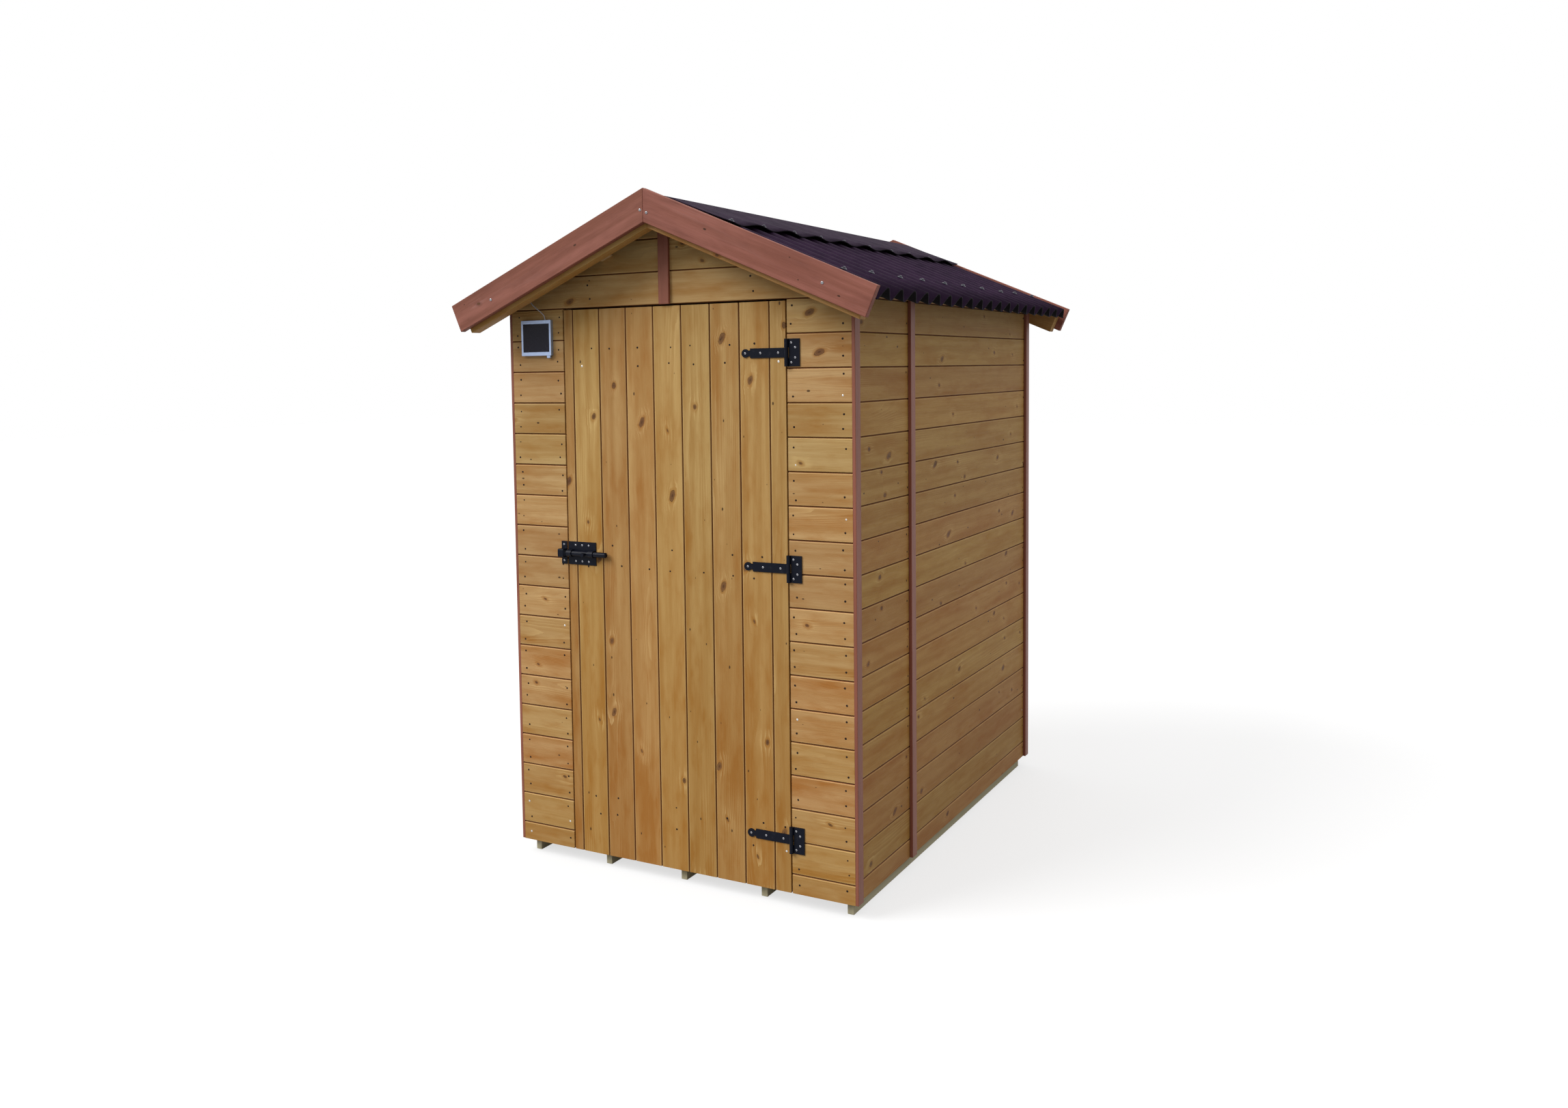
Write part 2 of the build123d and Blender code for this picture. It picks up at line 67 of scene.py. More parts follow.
# Camera
# The photograph was taken from the right of the door at about eye height, and cropped off centre.
# The place, turn and focal length come from the corners of the walls, the door and the roof.
PHOTO_WIDTH = 2296
PHOTO_HEIGHT = 1623
FOCAL_PIXELS = 1919.2
AXIS_PIXEL = (1029.4, 681.9)
SENSOR_WIDTH = 36.0
CAMERA_PLACE = (1.987, -4.043, 1.520)
CAMERA_YAW = math.radians(30.15)
CAMERA_PITCH = math.radians(-4.14)
CAMERA_ROLL = math.radians(-0.88)


def added(name, data):
    """A new object in the scene, with this data."""
    made = bpy.data.objects.new(name, data)
    scene.collection.objects.link(made)
    return made


lens = bpy.data.cameras.new("camera")
lens.sensor_fit = "HORIZONTAL"
lens.sensor_width = SENSOR_WIDTH
lens.lens = SENSOR_WIDTH * FOCAL_PIXELS / PHOTO_WIDTH
lens.shift_x = (PHOTO_WIDTH / 2 - AXIS_PIXEL[0]) / PHOTO_WIDTH
lens.shift_y = (AXIS_PIXEL[1] - PHOTO_HEIGHT / 2) / PHOTO_WIDTH
camera = added("camera", lens)
turn = Matrix.Rotation(CAMERA_YAW, 4, "Z") @ Matrix.Rotation(math.pi / 2 + CAMERA_PITCH, 4, "X")
turn = turn @ Matrix.Rotation(CAMERA_ROLL, 4, "Z")
camera.matrix_world = Matrix.Translation(CAMERA_PLACE) @ turn
scene.camera = camera

# Bearers
# Five sawn battens of pressure-treated pine on edge, greenish and a little weathered.
# They run from front to back and the floor and walls are nailed down on them.
BEARER_EASE = 0.0015
MERGE_DISTANCE = 1e-6
FLAT_ANGLE = math.radians(0.5)
SHARP_ANGLE = math.radians(30)
TREATED_LIGHT = (0.62, 0.56, 0.38, 1)
TREATED_DARK = (0.42, 0.37, 0.22, 1)


class Wire:
    """An output socket. Sums and products of wires add Math nodes to its tree."""

    def __init__(self, socket):
        self.socket = socket
        self.tree = socket.id_data

    def node(self, kind, inputs=None, output=0, **settings):
        """Any other node: its type, the values or links of its sockets, its output, its settings."""
        return add_node(self.tree, kind, inputs, output, **settings)

    def output(self, name):
        """Another output of the node that this wire comes from."""
        return Wire(self.socket.node.outputs[name])

    def axis(self, name):
        """One coordinate of a vector."""
        return self.node("ShaderNodeSeparateXYZ", {0: self}, name)

    def channels(self):
        """The red, green and blue of a colour."""
        red = self.node("ShaderNodeSeparateColor", {0: self})
        return red, red.output("Green"), red.output("Blue")

    def math(self, operation, *values):
        return self.node("ShaderNodeMath", dict(enumerate((self,) + values)), operation=operation)

    def __add__(self, other):
        return self.math("ADD", other)

    def __sub__(self, other):
        return self.math("SUBTRACT", other)

    def __mul__(self, other):
        return self.math("MULTIPLY", other)

    def __truediv__(self, other):
        return self.math("DIVIDE", other)

    def __pow__(self, other):
        return self.math("POWER", other)

    def __gt__(self, other):
        return self.math("GREATER_THAN", other)

    def __rsub__(self, other):
        return self * -1.0 + other

    __radd__ = __add__
    __rmul__ = __mul__

    def clamped(self, low, high):
        """0 at low, 1 at high, and a smooth ramp between them."""
        inputs = {"Value": self, "From Min": low, "From Max": high}
        return self.node("ShaderNodeMapRange", inputs, interpolation_type="SMOOTHSTEP")

    def mixed(self, first, second):
        """The first colour where this wire is 0, the second where it is 1."""
        return self.node("ShaderNodeMix", {0: self, 6: first, 7: second}, 2, data_type="RGBA")


def add_node(tree, kind, inputs=None, output=0, **settings):
    """Adds a node to a tree and gives one of its outputs."""
    made = tree.nodes.new(kind)
    for name, value in settings.items():
        setattr(made, name, value)
    for place, value in (inputs or {}).items():
        if isinstance(value, Wire):
            tree.links.new(value.socket, made.inputs[place])
        else:
            made.inputs[place].default_value = value
    return Wire(made.outputs[output])


def start_material(name, **constants):
    """A new material with its shader, and the object coordinates as a wire."""
    material = bpy.data.materials.new(name)
    material.use_nodes = True
    shader = material.node_tree.nodes["Principled BSDF"]
    for socket, value in constants.items():
        shader.inputs[socket.replace("_", " ")].default_value = value
    place = add_node(material.node_tree, "ShaderNodeTexCoord", output="Object")
    return material, shader, place


def finish(shader, **wires):
    """Links wires to the shader's sockets of these names."""
    for socket, wire in wires.items():
        shader.id_data.links.new(wire.socket, shader.inputs[socket.replace("_", " ")])


def bump(height, distance):
    """A normal that rises and falls with height, in metres at a height of 1."""
    return height.node("ShaderNodeBump", {"Distance": distance, "Height": height})


def grain_place(place, along, turn_y=0.0):
    """Coordinates with the grain along X, whatever way the timber lies."""
    if turn_y:
        place = place.node("ShaderNodeMapping", {"Vector": place, "Rotation": (0.0, turn_y, 0.0)})
    order = {"X": "XZY", "Y": "YZX", "Z": "ZXY"}[along]
    return [place.axis(name) for name in order]


def noise(place, scale=1.0, detail=2.0, roughness=0.55):
    """Even noise from 0 to 1 about 0.5, at a place."""
    inputs = {"Vector": place, "Scale": scale, "Detail": detail, "Roughness": roughness}
    return place.node("ShaderNodeTexNoise", inputs)


def joined(x, y, z):
    """Three numbers or wires as one vector."""
    start = [part for part in (x, y, z) if isinstance(part, Wire)][0]
    return start.node("ShaderNodeCombineXYZ", {0: x, 1: y, 2: z})


def plain_timber(name, along, light, dark, gloss=0.6, streak=0.5):
    """Sawn or planed pine without marked boards: streaks and fine fibres along the grain."""
    material, shader, place = start_material(name, Specular_IOR_Level=0.35)
    u, v, w = grain_place(place, along)
    streaks = noise(joined(u * 2.2, v * 34.0, w * 34.0), detail=4.0)
    fibres = noise(joined(u * 14.0, v * 480.0, w * 480.0))
    blotches = noise(joined(u * 1.7, v * 5.0, w * 5.0))
    tone = streaks.clamped(0.30, 0.72) * streak + fibres.clamped(0.2, 0.8) * 0.22
    tone = tone + blotches.clamped(0.3, 0.7) * (0.78 - streak)
    finish(shader, Base_Color=tone.mixed(light, dark), Roughness=fibres * 0.15 + (gloss - 0.07),
           Normal=bump(fibres + streaks * 0.6, 0.0004))
    return material


def refinished(node, material):
    """The node stays as it is and gets a material."""
    nodes[node].data.materials.clear()
    nodes[node].data.materials.append(material)


def in_place_of(node, piece):
    """The piece rides where the node does, hides it and has its finish."""
    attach(piece, nodes[node]["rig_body"])
    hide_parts(node)


def eased(node, radius, material):
    """A timber with its sharp corners taken off, in place of the node of that name."""
    mesh = nodes[node].data.copy()
    mesh.materials.clear()
    mesh.materials.append(material)
    work = bmesh.new()
    work.from_mesh(mesh)
    bmesh.ops.remove_doubles(work, verts=work.verts, dist=MERGE_DISTANCE)
    bmesh.ops.dissolve_limit(work, angle_limit=FLAT_ANGLE, verts=work.verts, edges=work.edges)
    sharp = [edge for edge in work.edges if edge.is_manifold and edge.calc_face_angle() > SHARP_ANGLE]
    bmesh.ops.bevel(work, geom=sharp, offset=radius, segments=2, profile=0.5, affect="EDGES")
    bmesh.ops.recalc_face_normals(work, faces=work.faces)
    work.to_mesh(mesh)
    work.free()
    in_place_of(node, added(node + ".timber", mesh))


treated_pine = plain_timber("treated pine", "Y", TREATED_LIGHT, TREATED_DARK, gloss=0.85, streak=0.6)
for node in sorted(node for node in nodes if node.startswith("bearer_")):
    eased(node, BEARER_EASE, treated_pine)

# Floor and framing
# Bare planed pine that nobody sees from outside: a board floor, posts, studs, wall plates and purlins.
# The posts stand on the floor at the corners and beside the door, and the purlins carry the sheets.
FRAME_EASE = 0.002
BARE_LIGHT = (0.66, 0.48, 0.27, 1)
BARE_DARK = (0.50, 0.32, 0.15, 1)

bare_upright = plain_timber("bare pine upright", "Z", BARE_LIGHT, BARE_DARK)
bare_lengthways = plain_timber("bare pine lengthways", "Y", BARE_LIGHT, BARE_DARK)
bare_crossways = plain_timber("bare pine crossways", "X", BARE_LIGHT, BARE_DARK)
for material, timbers in (
    (bare_upright, ("corner_posts", "door_posts", "side_studs", "door_stops")),
    (bare_lengthways, ("wall_plates", "purlins")),
    (bare_crossways, ("door_head",)),
):
    for node in timbers:
        eased(node, FRAME_EASE, material)

# Board walls
# Horizontal tongue-and-groove boards of pine, 95 mm to the board, with a chamfer along each face edge.
# They are nailed to the framing from outside, cut to the slope under the roof, and stained ochre.
BOARD_PITCH = 0.095
BOARD_PLAY = 0.0004
BOARD_CHAMFER = 0.0034
BOARD_GAP = 0.0003
BOARD_BACK_EASE = 0.001
TONGUE_DEPTH = 0.0055
TONGUE_FRONT = 0.007
TONGUE_BACK = 0.012
FIRST_JOINT = 0.098
ROOF_SLOPE = math.radians(23.3)
KNOT_SPACING = 0.23
KNOT_RADIUS = 0.0036
KNOT_RADIUS_PLAY = 0.0066
KNOT_HALO = 0.009
KNOT_RIM = 0.0013
PIN_SPACING = 0.12
PIN_RADIUS = 0.0010
PIN_RADIUS_PLAY = 0.0022
RING_GAP = 0.0034
RING_GAP_PLAY = 0.0030
# Below this height the boards grow darker and richer towards the bottom: partly richer stain, partly
# painted shade of the light from above.
LOW_SHADE_HEIGHT = 1.5
STAIN_LIGHT = (0.51, 0.315, 0.116, 1)
STAIN_DARK = (0.38, 0.198, 0.054, 1)
STAIN_DEEP = (0.33, 0.134, 0.021, 1)
# Pale late wood, and also the painted highlight along the chamfers.
STAIN_PALE = (0.67, 0.450, 0.190, 1)
# Painted light: the front is a lighter copy of the stain, as if lit, and the sides a darker, richer copy,
# as painted shade.
FRONT_PAINTED_LIT_LIGHT = (0.545, 0.360, 0.158, 1)
FRONT_PAINTED_LIT_DARK = (0.39, 0.215, 0.068, 1)
SIDE_PAINTED_SHADE_LIGHT = (0.50, 0.292, 0.094, 1)
SIDE_PAINTED_SHADE_DARK = (0.36, 0.178, 0.042, 1)
KNOT_LIGHT = (0.230, 0.108, 0.038, 1)
KNOT_BROWN = (0.115, 0.048, 0.019, 1)
KNOT_CORE = (0.035, 0.016, 0.008, 1)
# Joint colours: partly stain gathered in the joints, partly painted shade in the V-grooves.
GROOVE_RED_STAIN_AND_SHADE = (0.265, 0.088, 0.024, 1)
GROOVE_BROWN_STAIN_AND_SHADE = (0.088, 0.028, 0.011, 1)

(opening_side, front_y, wall_bottom), front_panel_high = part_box("front_wall_right")
board_thickness = front_panel_high.y - front_y
side_x, joint_y, eave_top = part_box("right_wall_front")[1]
back_y, back_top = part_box("back_wall")[1].yz
opening_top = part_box("front_gable")[0].z


def nearest_spot(place):
    """The nearest of the spots strewn along a line, 1 apart, and three random numbers of its own."""
    inputs = {"W": place, "Scale": 1.0, "Randomness": 1.0}
    spot = place.node("ShaderNodeTexVoronoi", inputs, "W", voronoi_dimensions="1D")
    return (spot,) + spot.output("Color").channels()


def span(across, up):
    """Length from 0 to a point this far across and up."""
    return (across * across + up * up).math("SQRT")


def stained_boards(name, along, start, seed, pitch=BOARD_PITCH, knots=0.36,
                   light=STAIN_LIGHT, dark=STAIN_DARK, deep=STAIN_DEEP, pale=STAIN_PALE,
                   turn_y=0.0, joint_shade_and_highlight=1.0, tone_play=0.15, low_shade=0.0):
    """Stained pine in boards: growth rings that flow round the knots, and another tone on each board. Low
    down and in the joints the colour is partly stain and partly painted shade, and on the chamfers partly
    worn stain and partly a painted highlight.
    """
    material, shader, place = start_material(name, Specular_IOR_Level=0.16)
    u, v, w = grain_place(place, along, turn_y)
    row = ((v - start) / pitch).math("FLOOR")
    middle = (row + 0.5) * pitch + start
    luck = row.node("ShaderNodeTexWhiteNoise", {"W": row * 1.37 + seed}, "Color", noise_dimensions="1D")
    luck_a, luck_b, luck_c = luck.channels()
    shifted = u + luck_a * 11.0

    knot_place = shifted / KNOT_SPACING + row * 19.0
    knot, knot_luck, share_luck, size_luck = nearest_spot(knot_place)
    from_knot_u = (knot - knot_place) * KNOT_SPACING
    knot_v = middle + (knot_luck - 0.5) * (pitch * 0.78)
    from_knot_v = v - knot_v
    has_knot = share_luck > 1.0 - knots
    radius = has_knot * (size_luck ** 1.8 * KNOT_RADIUS_PLAY + KNOT_RADIUS)
    wobble = noise(joined(u, v, w), 70.0) * 0.7 + 0.65
    leaning = from_knot_u + from_knot_v * (size_luck * 1.6 - 0.8)
    distance = span(leaning * 0.70, from_knot_v) * wobble
    reach = radius * 1.3
    flow = from_knot_v * (1.0 - (reach / distance.math("MAXIMUM", reach)) ** 2.0)
    ring_v = knot_v + flow

    drift = noise(joined(shifted * 0.9, row * 3.1, 0.0)) - 0.5
    pith_v = middle + (luck_b - 0.5) * 0.10 + drift * 0.07
    pith_depth = drift * 0.070 + luck_c * 0.03 + 0.022
    waver = noise(joined(shifted * 7.0, v * 60.0, w * 60.0), detail=3.0) - 0.5
    ring = span(ring_v - pith_v, pith_depth) / (luck_c * RING_GAP_PLAY + RING_GAP) + waver * 0.9
    late = ring.math("FRACT") ** 2.6
    fibre = noise(joined(shifted * 24.0, v * 800.0, w * 800.0))
    streak = noise(joined(shifted * 1.7, ring_v * 44.0, w * 20.0 + luck_b * 7.0), detail=4.0)
    blotch = noise(joined(shifted * 2.6, v * 15.0, row * 2.0), detail=3.0)
    cloud = noise(joined(shifted * 11.0, v * 34.0, w * 30.0), detail=3.0)
    figure = noise(joined(shifted * 1.9, v * 9.0, row * 5.3)).clamped(0.52, 0.70)
    beyond = distance - radius
    near_knot = (1.0 - beyond.clamped(0.003, 0.030)) * has_knot

    tone = streak.clamped(0.33, 0.67) * 0.64 + fibre.clamped(0.25, 0.8) * 0.26 + late * 0.12
    soaked_and_low_shade = blotch.clamped(0.44, 0.72) * 0.55 + cloud.clamped(0.44, 0.74) * 0.30
    # Darker towards the bottom: partly richer stain, partly painted shade.
    if low_shade:
        low_shade_mask = 1.0 - place.axis("Z").clamped(0.0, LOW_SHADE_HEIGHT)
        soaked_and_low_shade = (soaked_and_low_shade + low_shade_mask * low_shade).math("MINIMUM", 0.9)
    halo = (1.0 - beyond.clamped(0.0, KNOT_HALO)) * has_knot
    inside = (1.0 - beyond.clamped(-0.0016, 0.0008)) * has_knot
    to_middle = 1.0 - distance / radius.math("MAXIMUM", 0.001)
    knot_tone = to_middle.clamped(-0.1, 0.9) * 0.55 + knot_luck.clamped(0.1, 0.8) * 0.45
    knot_colour = knot_tone.mixed(KNOT_LIGHT, KNOT_BROWN)
    knot_rings = (distance * 1700.0 + cloud * 6.0).math("SINE") * 0.10 + 0.10
    knot_colour = (knot_rings + to_middle.clamped(0.55, 0.95) * 0.6).mixed(knot_colour, KNOT_CORE)
    rim = (1.0 - (beyond / KNOT_RIM).math("ABSOLUTE").clamped(0.2, 1.0)) * has_knot

    pin_place = shifted / PIN_SPACING + row * 7.3 + 3.7
    pin, pin_luck, share_luck, size_luck = nearest_spot(pin_place)
    pin_u = (pin - pin_place) * PIN_SPACING * 0.55
    pin_v = v - middle - (pin_luck - 0.5) * (pitch * 0.84)
    pin_distance = span(pin_u, pin_v) * wobble
    pin_radius = (share_luck > 0.55) * (size_luck ** 1.5 * PIN_RADIUS_PLAY + PIN_RADIUS)
    in_pin = (1.0 - (pin_distance - pin_radius).clamped(-0.0008, 0.0006)) * (pin_radius > 0.0004)

    edge = ((v - start) / pitch - row - 0.5).math("ABSOLUTE") * -pitch + pitch / 2
    line_wobble = noise(joined(shifted * 9.0, v * 4.0, row)) * 0.0016
    arris_wear_and_highlight = 1.0 - ((edge - line_wobble - 0.0026) / 0.0018).math("ABSOLUTE").clamped(0.2, 1.0)
    colour = tone.mixed(light, dark)
    # Each colour is laid over the ones before it. The pale arris is partly thinner stain on the edges,
    # partly a painted highlight; the groove colours are partly stain in the joints, partly painted shade.
    for share, over in (
        (soaked_and_low_shade, deep), (late * (figure * 0.42 + near_knot * 0.55 + 0.05), pale), (halo * 0.60, deep),
        (inside * 0.92, knot_colour), (rim * cloud.clamped(0.42, 0.62) * 0.8, KNOT_CORE),
        (in_pin * 0.85, KNOT_CORE), (arris_wear_and_highlight * (0.42 * joint_shade_and_highlight), pale),
        ((1.0 - edge.clamped(0.0012, 0.0032)) * (0.60 * joint_shade_and_highlight), GROOVE_RED_STAIN_AND_SHADE),
        ((1.0 - (edge - line_wobble).clamped(0.0002, 0.0014)) * (0.75 * joint_shade_and_highlight), GROOVE_BROWN_STAIN_AND_SHADE),
    ):
        colour = share.mixed(colour, over)
    value = 1.0 + (luck_b - 0.5) * tone_play
    hue = 0.5 + (luck_c - 0.5) * 0.012
    colour = colour.node("ShaderNodeHueSaturation", {"Color": colour, "Value": value, "Hue": hue})
    height = late * 0.45 + fibre * 0.5 - inside * 0.6
    finish(shader, Base_Color=colour, Roughness=late * 0.08 + fibre * 0.16 + 0.50,
           Normal=bump(height, 0.0003))
    return material


def board_outline(pitch, thickness):
    """Section of a board as points (depth from the face, place across), with its tongue and groove."""
    low = BOARD_GAP
    high = pitch - BOARD_GAP
    return [
        (BOARD_CHAMFER, low), (TONGUE_FRONT, low), (TONGUE_FRONT, TONGUE_DEPTH + low),
        (TONGUE_BACK, TONGUE_DEPTH + low), (TONGUE_BACK, low), (thickness - BOARD_BACK_EASE, low),
        (thickness, low + BOARD_BACK_EASE), (thickness, high - BOARD_BACK_EASE),
        (thickness - BOARD_BACK_EASE, high), (TONGUE_BACK, high), (TONGUE_BACK, high + TONGUE_DEPTH),
        (TONGUE_FRONT, high + TONGUE_DEPTH), (TONGUE_FRONT, high), (BOARD_CHAMFER, high),
        (BOARD_CHAMFER * 0.15, high - BOARD_CHAMFER * 0.72), (0.0, high - BOARD_CHAMFER),
        (0.0, low + BOARD_CHAMFER), (BOARD_CHAMFER * 0.15, low + BOARD_CHAMFER * 0.72),
    ]


def mesh_from(work, name):
    """The mesh that a bmesh ends as."""
    mesh = bpy.data.meshes.new(name)
    work.to_mesh(mesh)
    work.free()
    return mesh


def one_board(name, outline, directions, start, end):
    """A straight board. The directions are along it, across it and inward from its face."""
    along, across, inward = (Vector(direction) for direction in directions)
    work = bmesh.new()
    ends = []
    for reach in (start, end):
        ends.append([work.verts.new(along * reach + inward * depth + across * place)
                     for depth, place in outline])
    work.faces.new(ends[0])
    work.faces.new(reversed(ends[1]))
    for index in range(len(outline)):
        after = (index + 1) % len(outline)
        work.faces.new((ends[0][index], ends[1][index], ends[1][after], ends[0][after]))
    bmesh.ops.recalc_face_normals(work, faces=work.faces)
    return added(name, mesh_from(work, name))


def new_tree(name, inputs):
    """An empty Geometry Nodes tree with named inputs, and those inputs as wires."""
    tree = bpy.data.node_groups.new(name, "GeometryNodeTree")
    tree.interface.new_socket("Geometry", in_out="OUTPUT", socket_type="NodeSocketGeometry")
    for socket_name, kind in inputs.items():
        tree.interface.new_socket(socket_name, in_out="INPUT", socket_type="NodeSocket" + kind)
    entry = tree.nodes.new("NodeGroupInput")
    wires = {socket_name: Wire(entry.outputs[socket_name]) for socket_name in inputs}
    return tree, wires


def end_tree(tree, wire, material):
    """Realize Instances and Set Material, which close every tree."""
    wire = wire.node("GeometryNodeRealizeInstances", {"Geometry": wire})
    wire = wire.node("GeometryNodeSetMaterial", {"Geometry": wire, "Material": material})
    leave = tree.nodes.new("NodeGroupOutput")
    tree.links.new(wire.socket, leave.inputs[0])


def settle(piece):
    """Gives a piece the mesh that its modifiers make of it."""
    evaluated = piece.evaluated_get(bpy.context.evaluated_depsgraph_get())
    piece.data = bpy.data.meshes.new_from_object(evaluated)
    piece.modifiers.clear()


def grown(name, tree, values, points=()):
    """An object with the mesh that a tree makes from these values, and from points if it needs any."""
    mesh = bpy.data.meshes.new(name)
    mesh.from_pydata([tuple(point) for point in points], [], [])
    piece = added(name, mesh)
    modifier = piece.modifiers.new("made", "NODES")
    modifier.node_group = tree
    for item in tree.interface.items_tree:
        if item.in_out == "INPUT" and item.name in values:
            modifier[item.identifier] = values[item.name]
    settle(piece)
    piece.data.name = name
    return piece


def at_random(limit, seed):
    """Another number from 0 to the limit at each point."""
    inputs = {2: 0.0, 3: limit, "Seed": seed}
    return seed.node("FunctionNodeRandomValue", inputs, 1, data_type="FLOAT")


def moved(points, way, amount):
    """The points, each its own amount along the way."""
    shift = amount.node("ShaderNodeVectorMath", {0: way, "Scale": amount}, operation="SCALE")
    return points.node("GeometryNodeSetPosition", {"Geometry": points, "Offset": shift})


def copied(points, pattern, **inputs):
    """A copy of the pattern object at each point."""
    inputs["Points"] = points
    inputs["Instance"] = pattern.node("GeometryNodeObjectInfo", {"Object": pattern}, "Geometry",
                                      transform_space="ORIGINAL")
    return points.node("GeometryNodeInstanceOnPoints", inputs)


def board_tree():
    """Boards side by side: copies of one board at an even pitch, each a little deeper or shallower."""
    tree, wires = new_tree("boards side by side", {
        "Board": "Object", "Count": "Int", "Step": "Vector", "Inward": "Vector", "Play": "Float",
        "Seed": "Int", "Material": "Material",
    })
    inputs = {"Count": wires["Count"], "Offset": wires["Step"]}
    line = wires["Step"].node("GeometryNodeMeshLine", inputs, mode="OFFSET")
    line = moved(line, wires["Inward"], at_random(wires["Play"], wires["Seed"]))
    end_tree(tree, copied(line, wires["Board"]), wires["Material"])
    return tree


def trimmed(piece, cuts):
    """Cuts a piece of closed boards with planes (point, outward direction) and closes each cut."""
    work = bmesh.new()
    work.from_mesh(piece.data)
    for point, outward in cuts:
        everything = work.verts[:] + work.edges[:] + work.faces[:]
        cut = bmesh.ops.bisect_plane(work, geom=everything, plane_co=point, plane_no=outward,
                                     clear_outer=True)
        rims = [item for item in cut["geom_cut"] if isinstance(item, bmesh.types.BMEdge)]
        bmesh.ops.holes_fill(work, edges=rims, sides=0)
    bmesh.ops.recalc_face_normals(work, faces=work.faces)
    work.to_mesh(piece.data)
    work.free()


boards_side_by_side = board_tree()
wall_outline = board_outline(BOARD_PITCH, board_thickness)


def square_cut(axis, place, outward):
    """A cut square to axis 0, 1 or 2. What lies beyond it, in the direction 1 or -1, is taken away."""
    point, direction = Vector(), Vector()
    point[axis], direction[axis] = place, outward
    return point, direction


def board_wall(node, material, directions, start, end, origin, count, cuts, seed):
    """A panel of boards between two places, the first one's edge at origin, in place of a node."""
    board = one_board(node + ".pattern", wall_outline, directions, start, end)
    step, inward = Vector(directions[1]) * BOARD_PITCH, Vector(directions[2])
    piece = grown(node + ".boards", boards_side_by_side, {
        "Board": board, "Count": count, "Step": step, "Inward": inward,
        "Play": BOARD_PLAY, "Seed": seed, "Material": material,
    })
    piece.data.transform(Matrix.Translation(origin))
    bpy.data.objects.remove(board)
    trimmed(piece, cuts)
    in_place_of(node, piece)


# The front takes the lighter copy of the stain as painted light, and the sides the darker one as painted
# shade.
front_pine_painted_lit = stained_boards("stained pine, front, painted lit", "X", FIRST_JOINT, 3.0,
                            light=FRONT_PAINTED_LIT_LIGHT, dark=FRONT_PAINTED_LIT_DARK, low_shade=0.38)
side_pine_painted_shade = stained_boards("stained pine, sides, painted shade", "Y", FIRST_JOINT, 8.0, knots=0.42,
                           light=SIDE_PAINTED_SHADE_LIGHT, dark=SIDE_PAINTED_SHADE_DARK, low_shade=0.30)
back_pine = stained_boards("stained pine, back", "X", FIRST_JOINT, 15.0, low_shade=0.36)
floor_cut = square_cut(2, wall_bottom, -1)
head_cut = square_cut(2, opening_top, 1)
slope_cuts = []
for sign in (1, -1):
    outward = Vector((sign * math.sin(ROOF_SLOPE), 0.0, math.cos(ROOF_SLOPE)))
    slope_cuts.append((Vector((sign * side_x, 0.0, eave_top)), outward))
front_way = ((1, 0, 0), (0, 0, 1), (0, 1, 0))
back_way = ((1, 0, 0), (0, 0, 1), (0, -1, 0))
first_edge = FIRST_JOINT - BOARD_PITCH
wall_rows = math.ceil((back_top - first_edge) / BOARD_PITCH)
front_origin = Vector((0.0, front_y, first_edge))
back_origin = Vector((0.0, back_y, first_edge))

for node, start, end, cuts, seed in (
    ("front_wall_right", opening_side, side_x, [floor_cut, head_cut], 1),
    ("front_wall_left", -side_x, -opening_side, [floor_cut, head_cut], 2),
    ("front_gable", -side_x, side_x, [square_cut(2, opening_top, -1)] + slope_cuts, 3),
):
    board_wall(node, front_pine_painted_lit, front_way, start, end, front_origin, wall_rows, cuts, seed)
board_wall("back_wall", back_pine, back_way, -side_x, side_x, back_origin, wall_rows,
           [floor_cut] + slope_cuts, 4)
for node, sign, seed in (("right_wall_front", 1, 5), ("right_wall_rear", 1, 6),
                         ("left_wall_front", -1, 7), ("left_wall_rear", -1, 8)):
    near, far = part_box(node)
    side_way = ((0, 1, 0), (0, 0, 1), (-sign, 0, 0))
    origin = Vector((sign * side_x, 0.0, first_edge))
    board_wall(node, side_pine_painted_shade, side_way, near.y, far.y, origin, wall_rows,
               [floor_cut, square_cut(2, eave_top, 1)], seed)

floor_pine = stained_boards("bare pine floor", "Y", -1.0, 21.0, light=BARE_LIGHT, dark=BARE_DARK,
                            deep=BARE_DARK, pale=BARE_LIGHT, joint_shade_and_highlight=0.6)
refinished("floor_deck", floor_pine)

# Laths and nails
# Red-brown stained laths cover the corners, the joints of the side walls and the middle of the gable.
# The boards are held by small round steel nails, driven flush, two to a board at each post.
LATH_EASE = 0.0015
RED_LIGHT = (0.328, 0.122, 0.092, 1)
RED_DARK = (0.205, 0.068, 0.043, 1)
RED_DEEP = (0.140, 0.044, 0.030, 1)
RED_PALE = (0.375, 0.172, 0.145, 1)
LATH_LIGHT = (0.295, 0.098, 0.058, 1)
LATH_DARK = (0.185, 0.055, 0.030, 1)
NAIL_RADIUS = 0.0031
NAIL_RISE = 0.0006
NAIL_SINK = 0.0010
NAIL_SIDES = 10
NAIL_INSET = 0.017
NAIL_FROM_JOINT = 0.024
NAIL_STRAY = 0.008
NAIL_MARGIN = 0.006
NAILS_END = 2.0
GABLE_INSET = 0.024
GABLE_NAILS_X = (-0.28, 0.27)
BACK_INSET = 0.036
SIDE_TOP_MARGIN = 0.02
ROOF_MARGIN = 0.025
NAILS_DRIVEN = 0.93
SIDE_NAILS_DRIVEN = 0.7
BRIGHT_SHARE = 0.07
DARK_STEEL = (0.024, 0.014, 0.010, 1)
BRIGHT_STEEL = (0.62, 0.62, 0.60, 1)

red_upright = plain_timber("red-brown pine upright", "Z", LATH_LIGHT, LATH_DARK, gloss=0.5, streak=0.55)
for node in ("corner_trims", "side_strips", "gable_strip"):
    eased(node, LATH_EASE, red_upright)


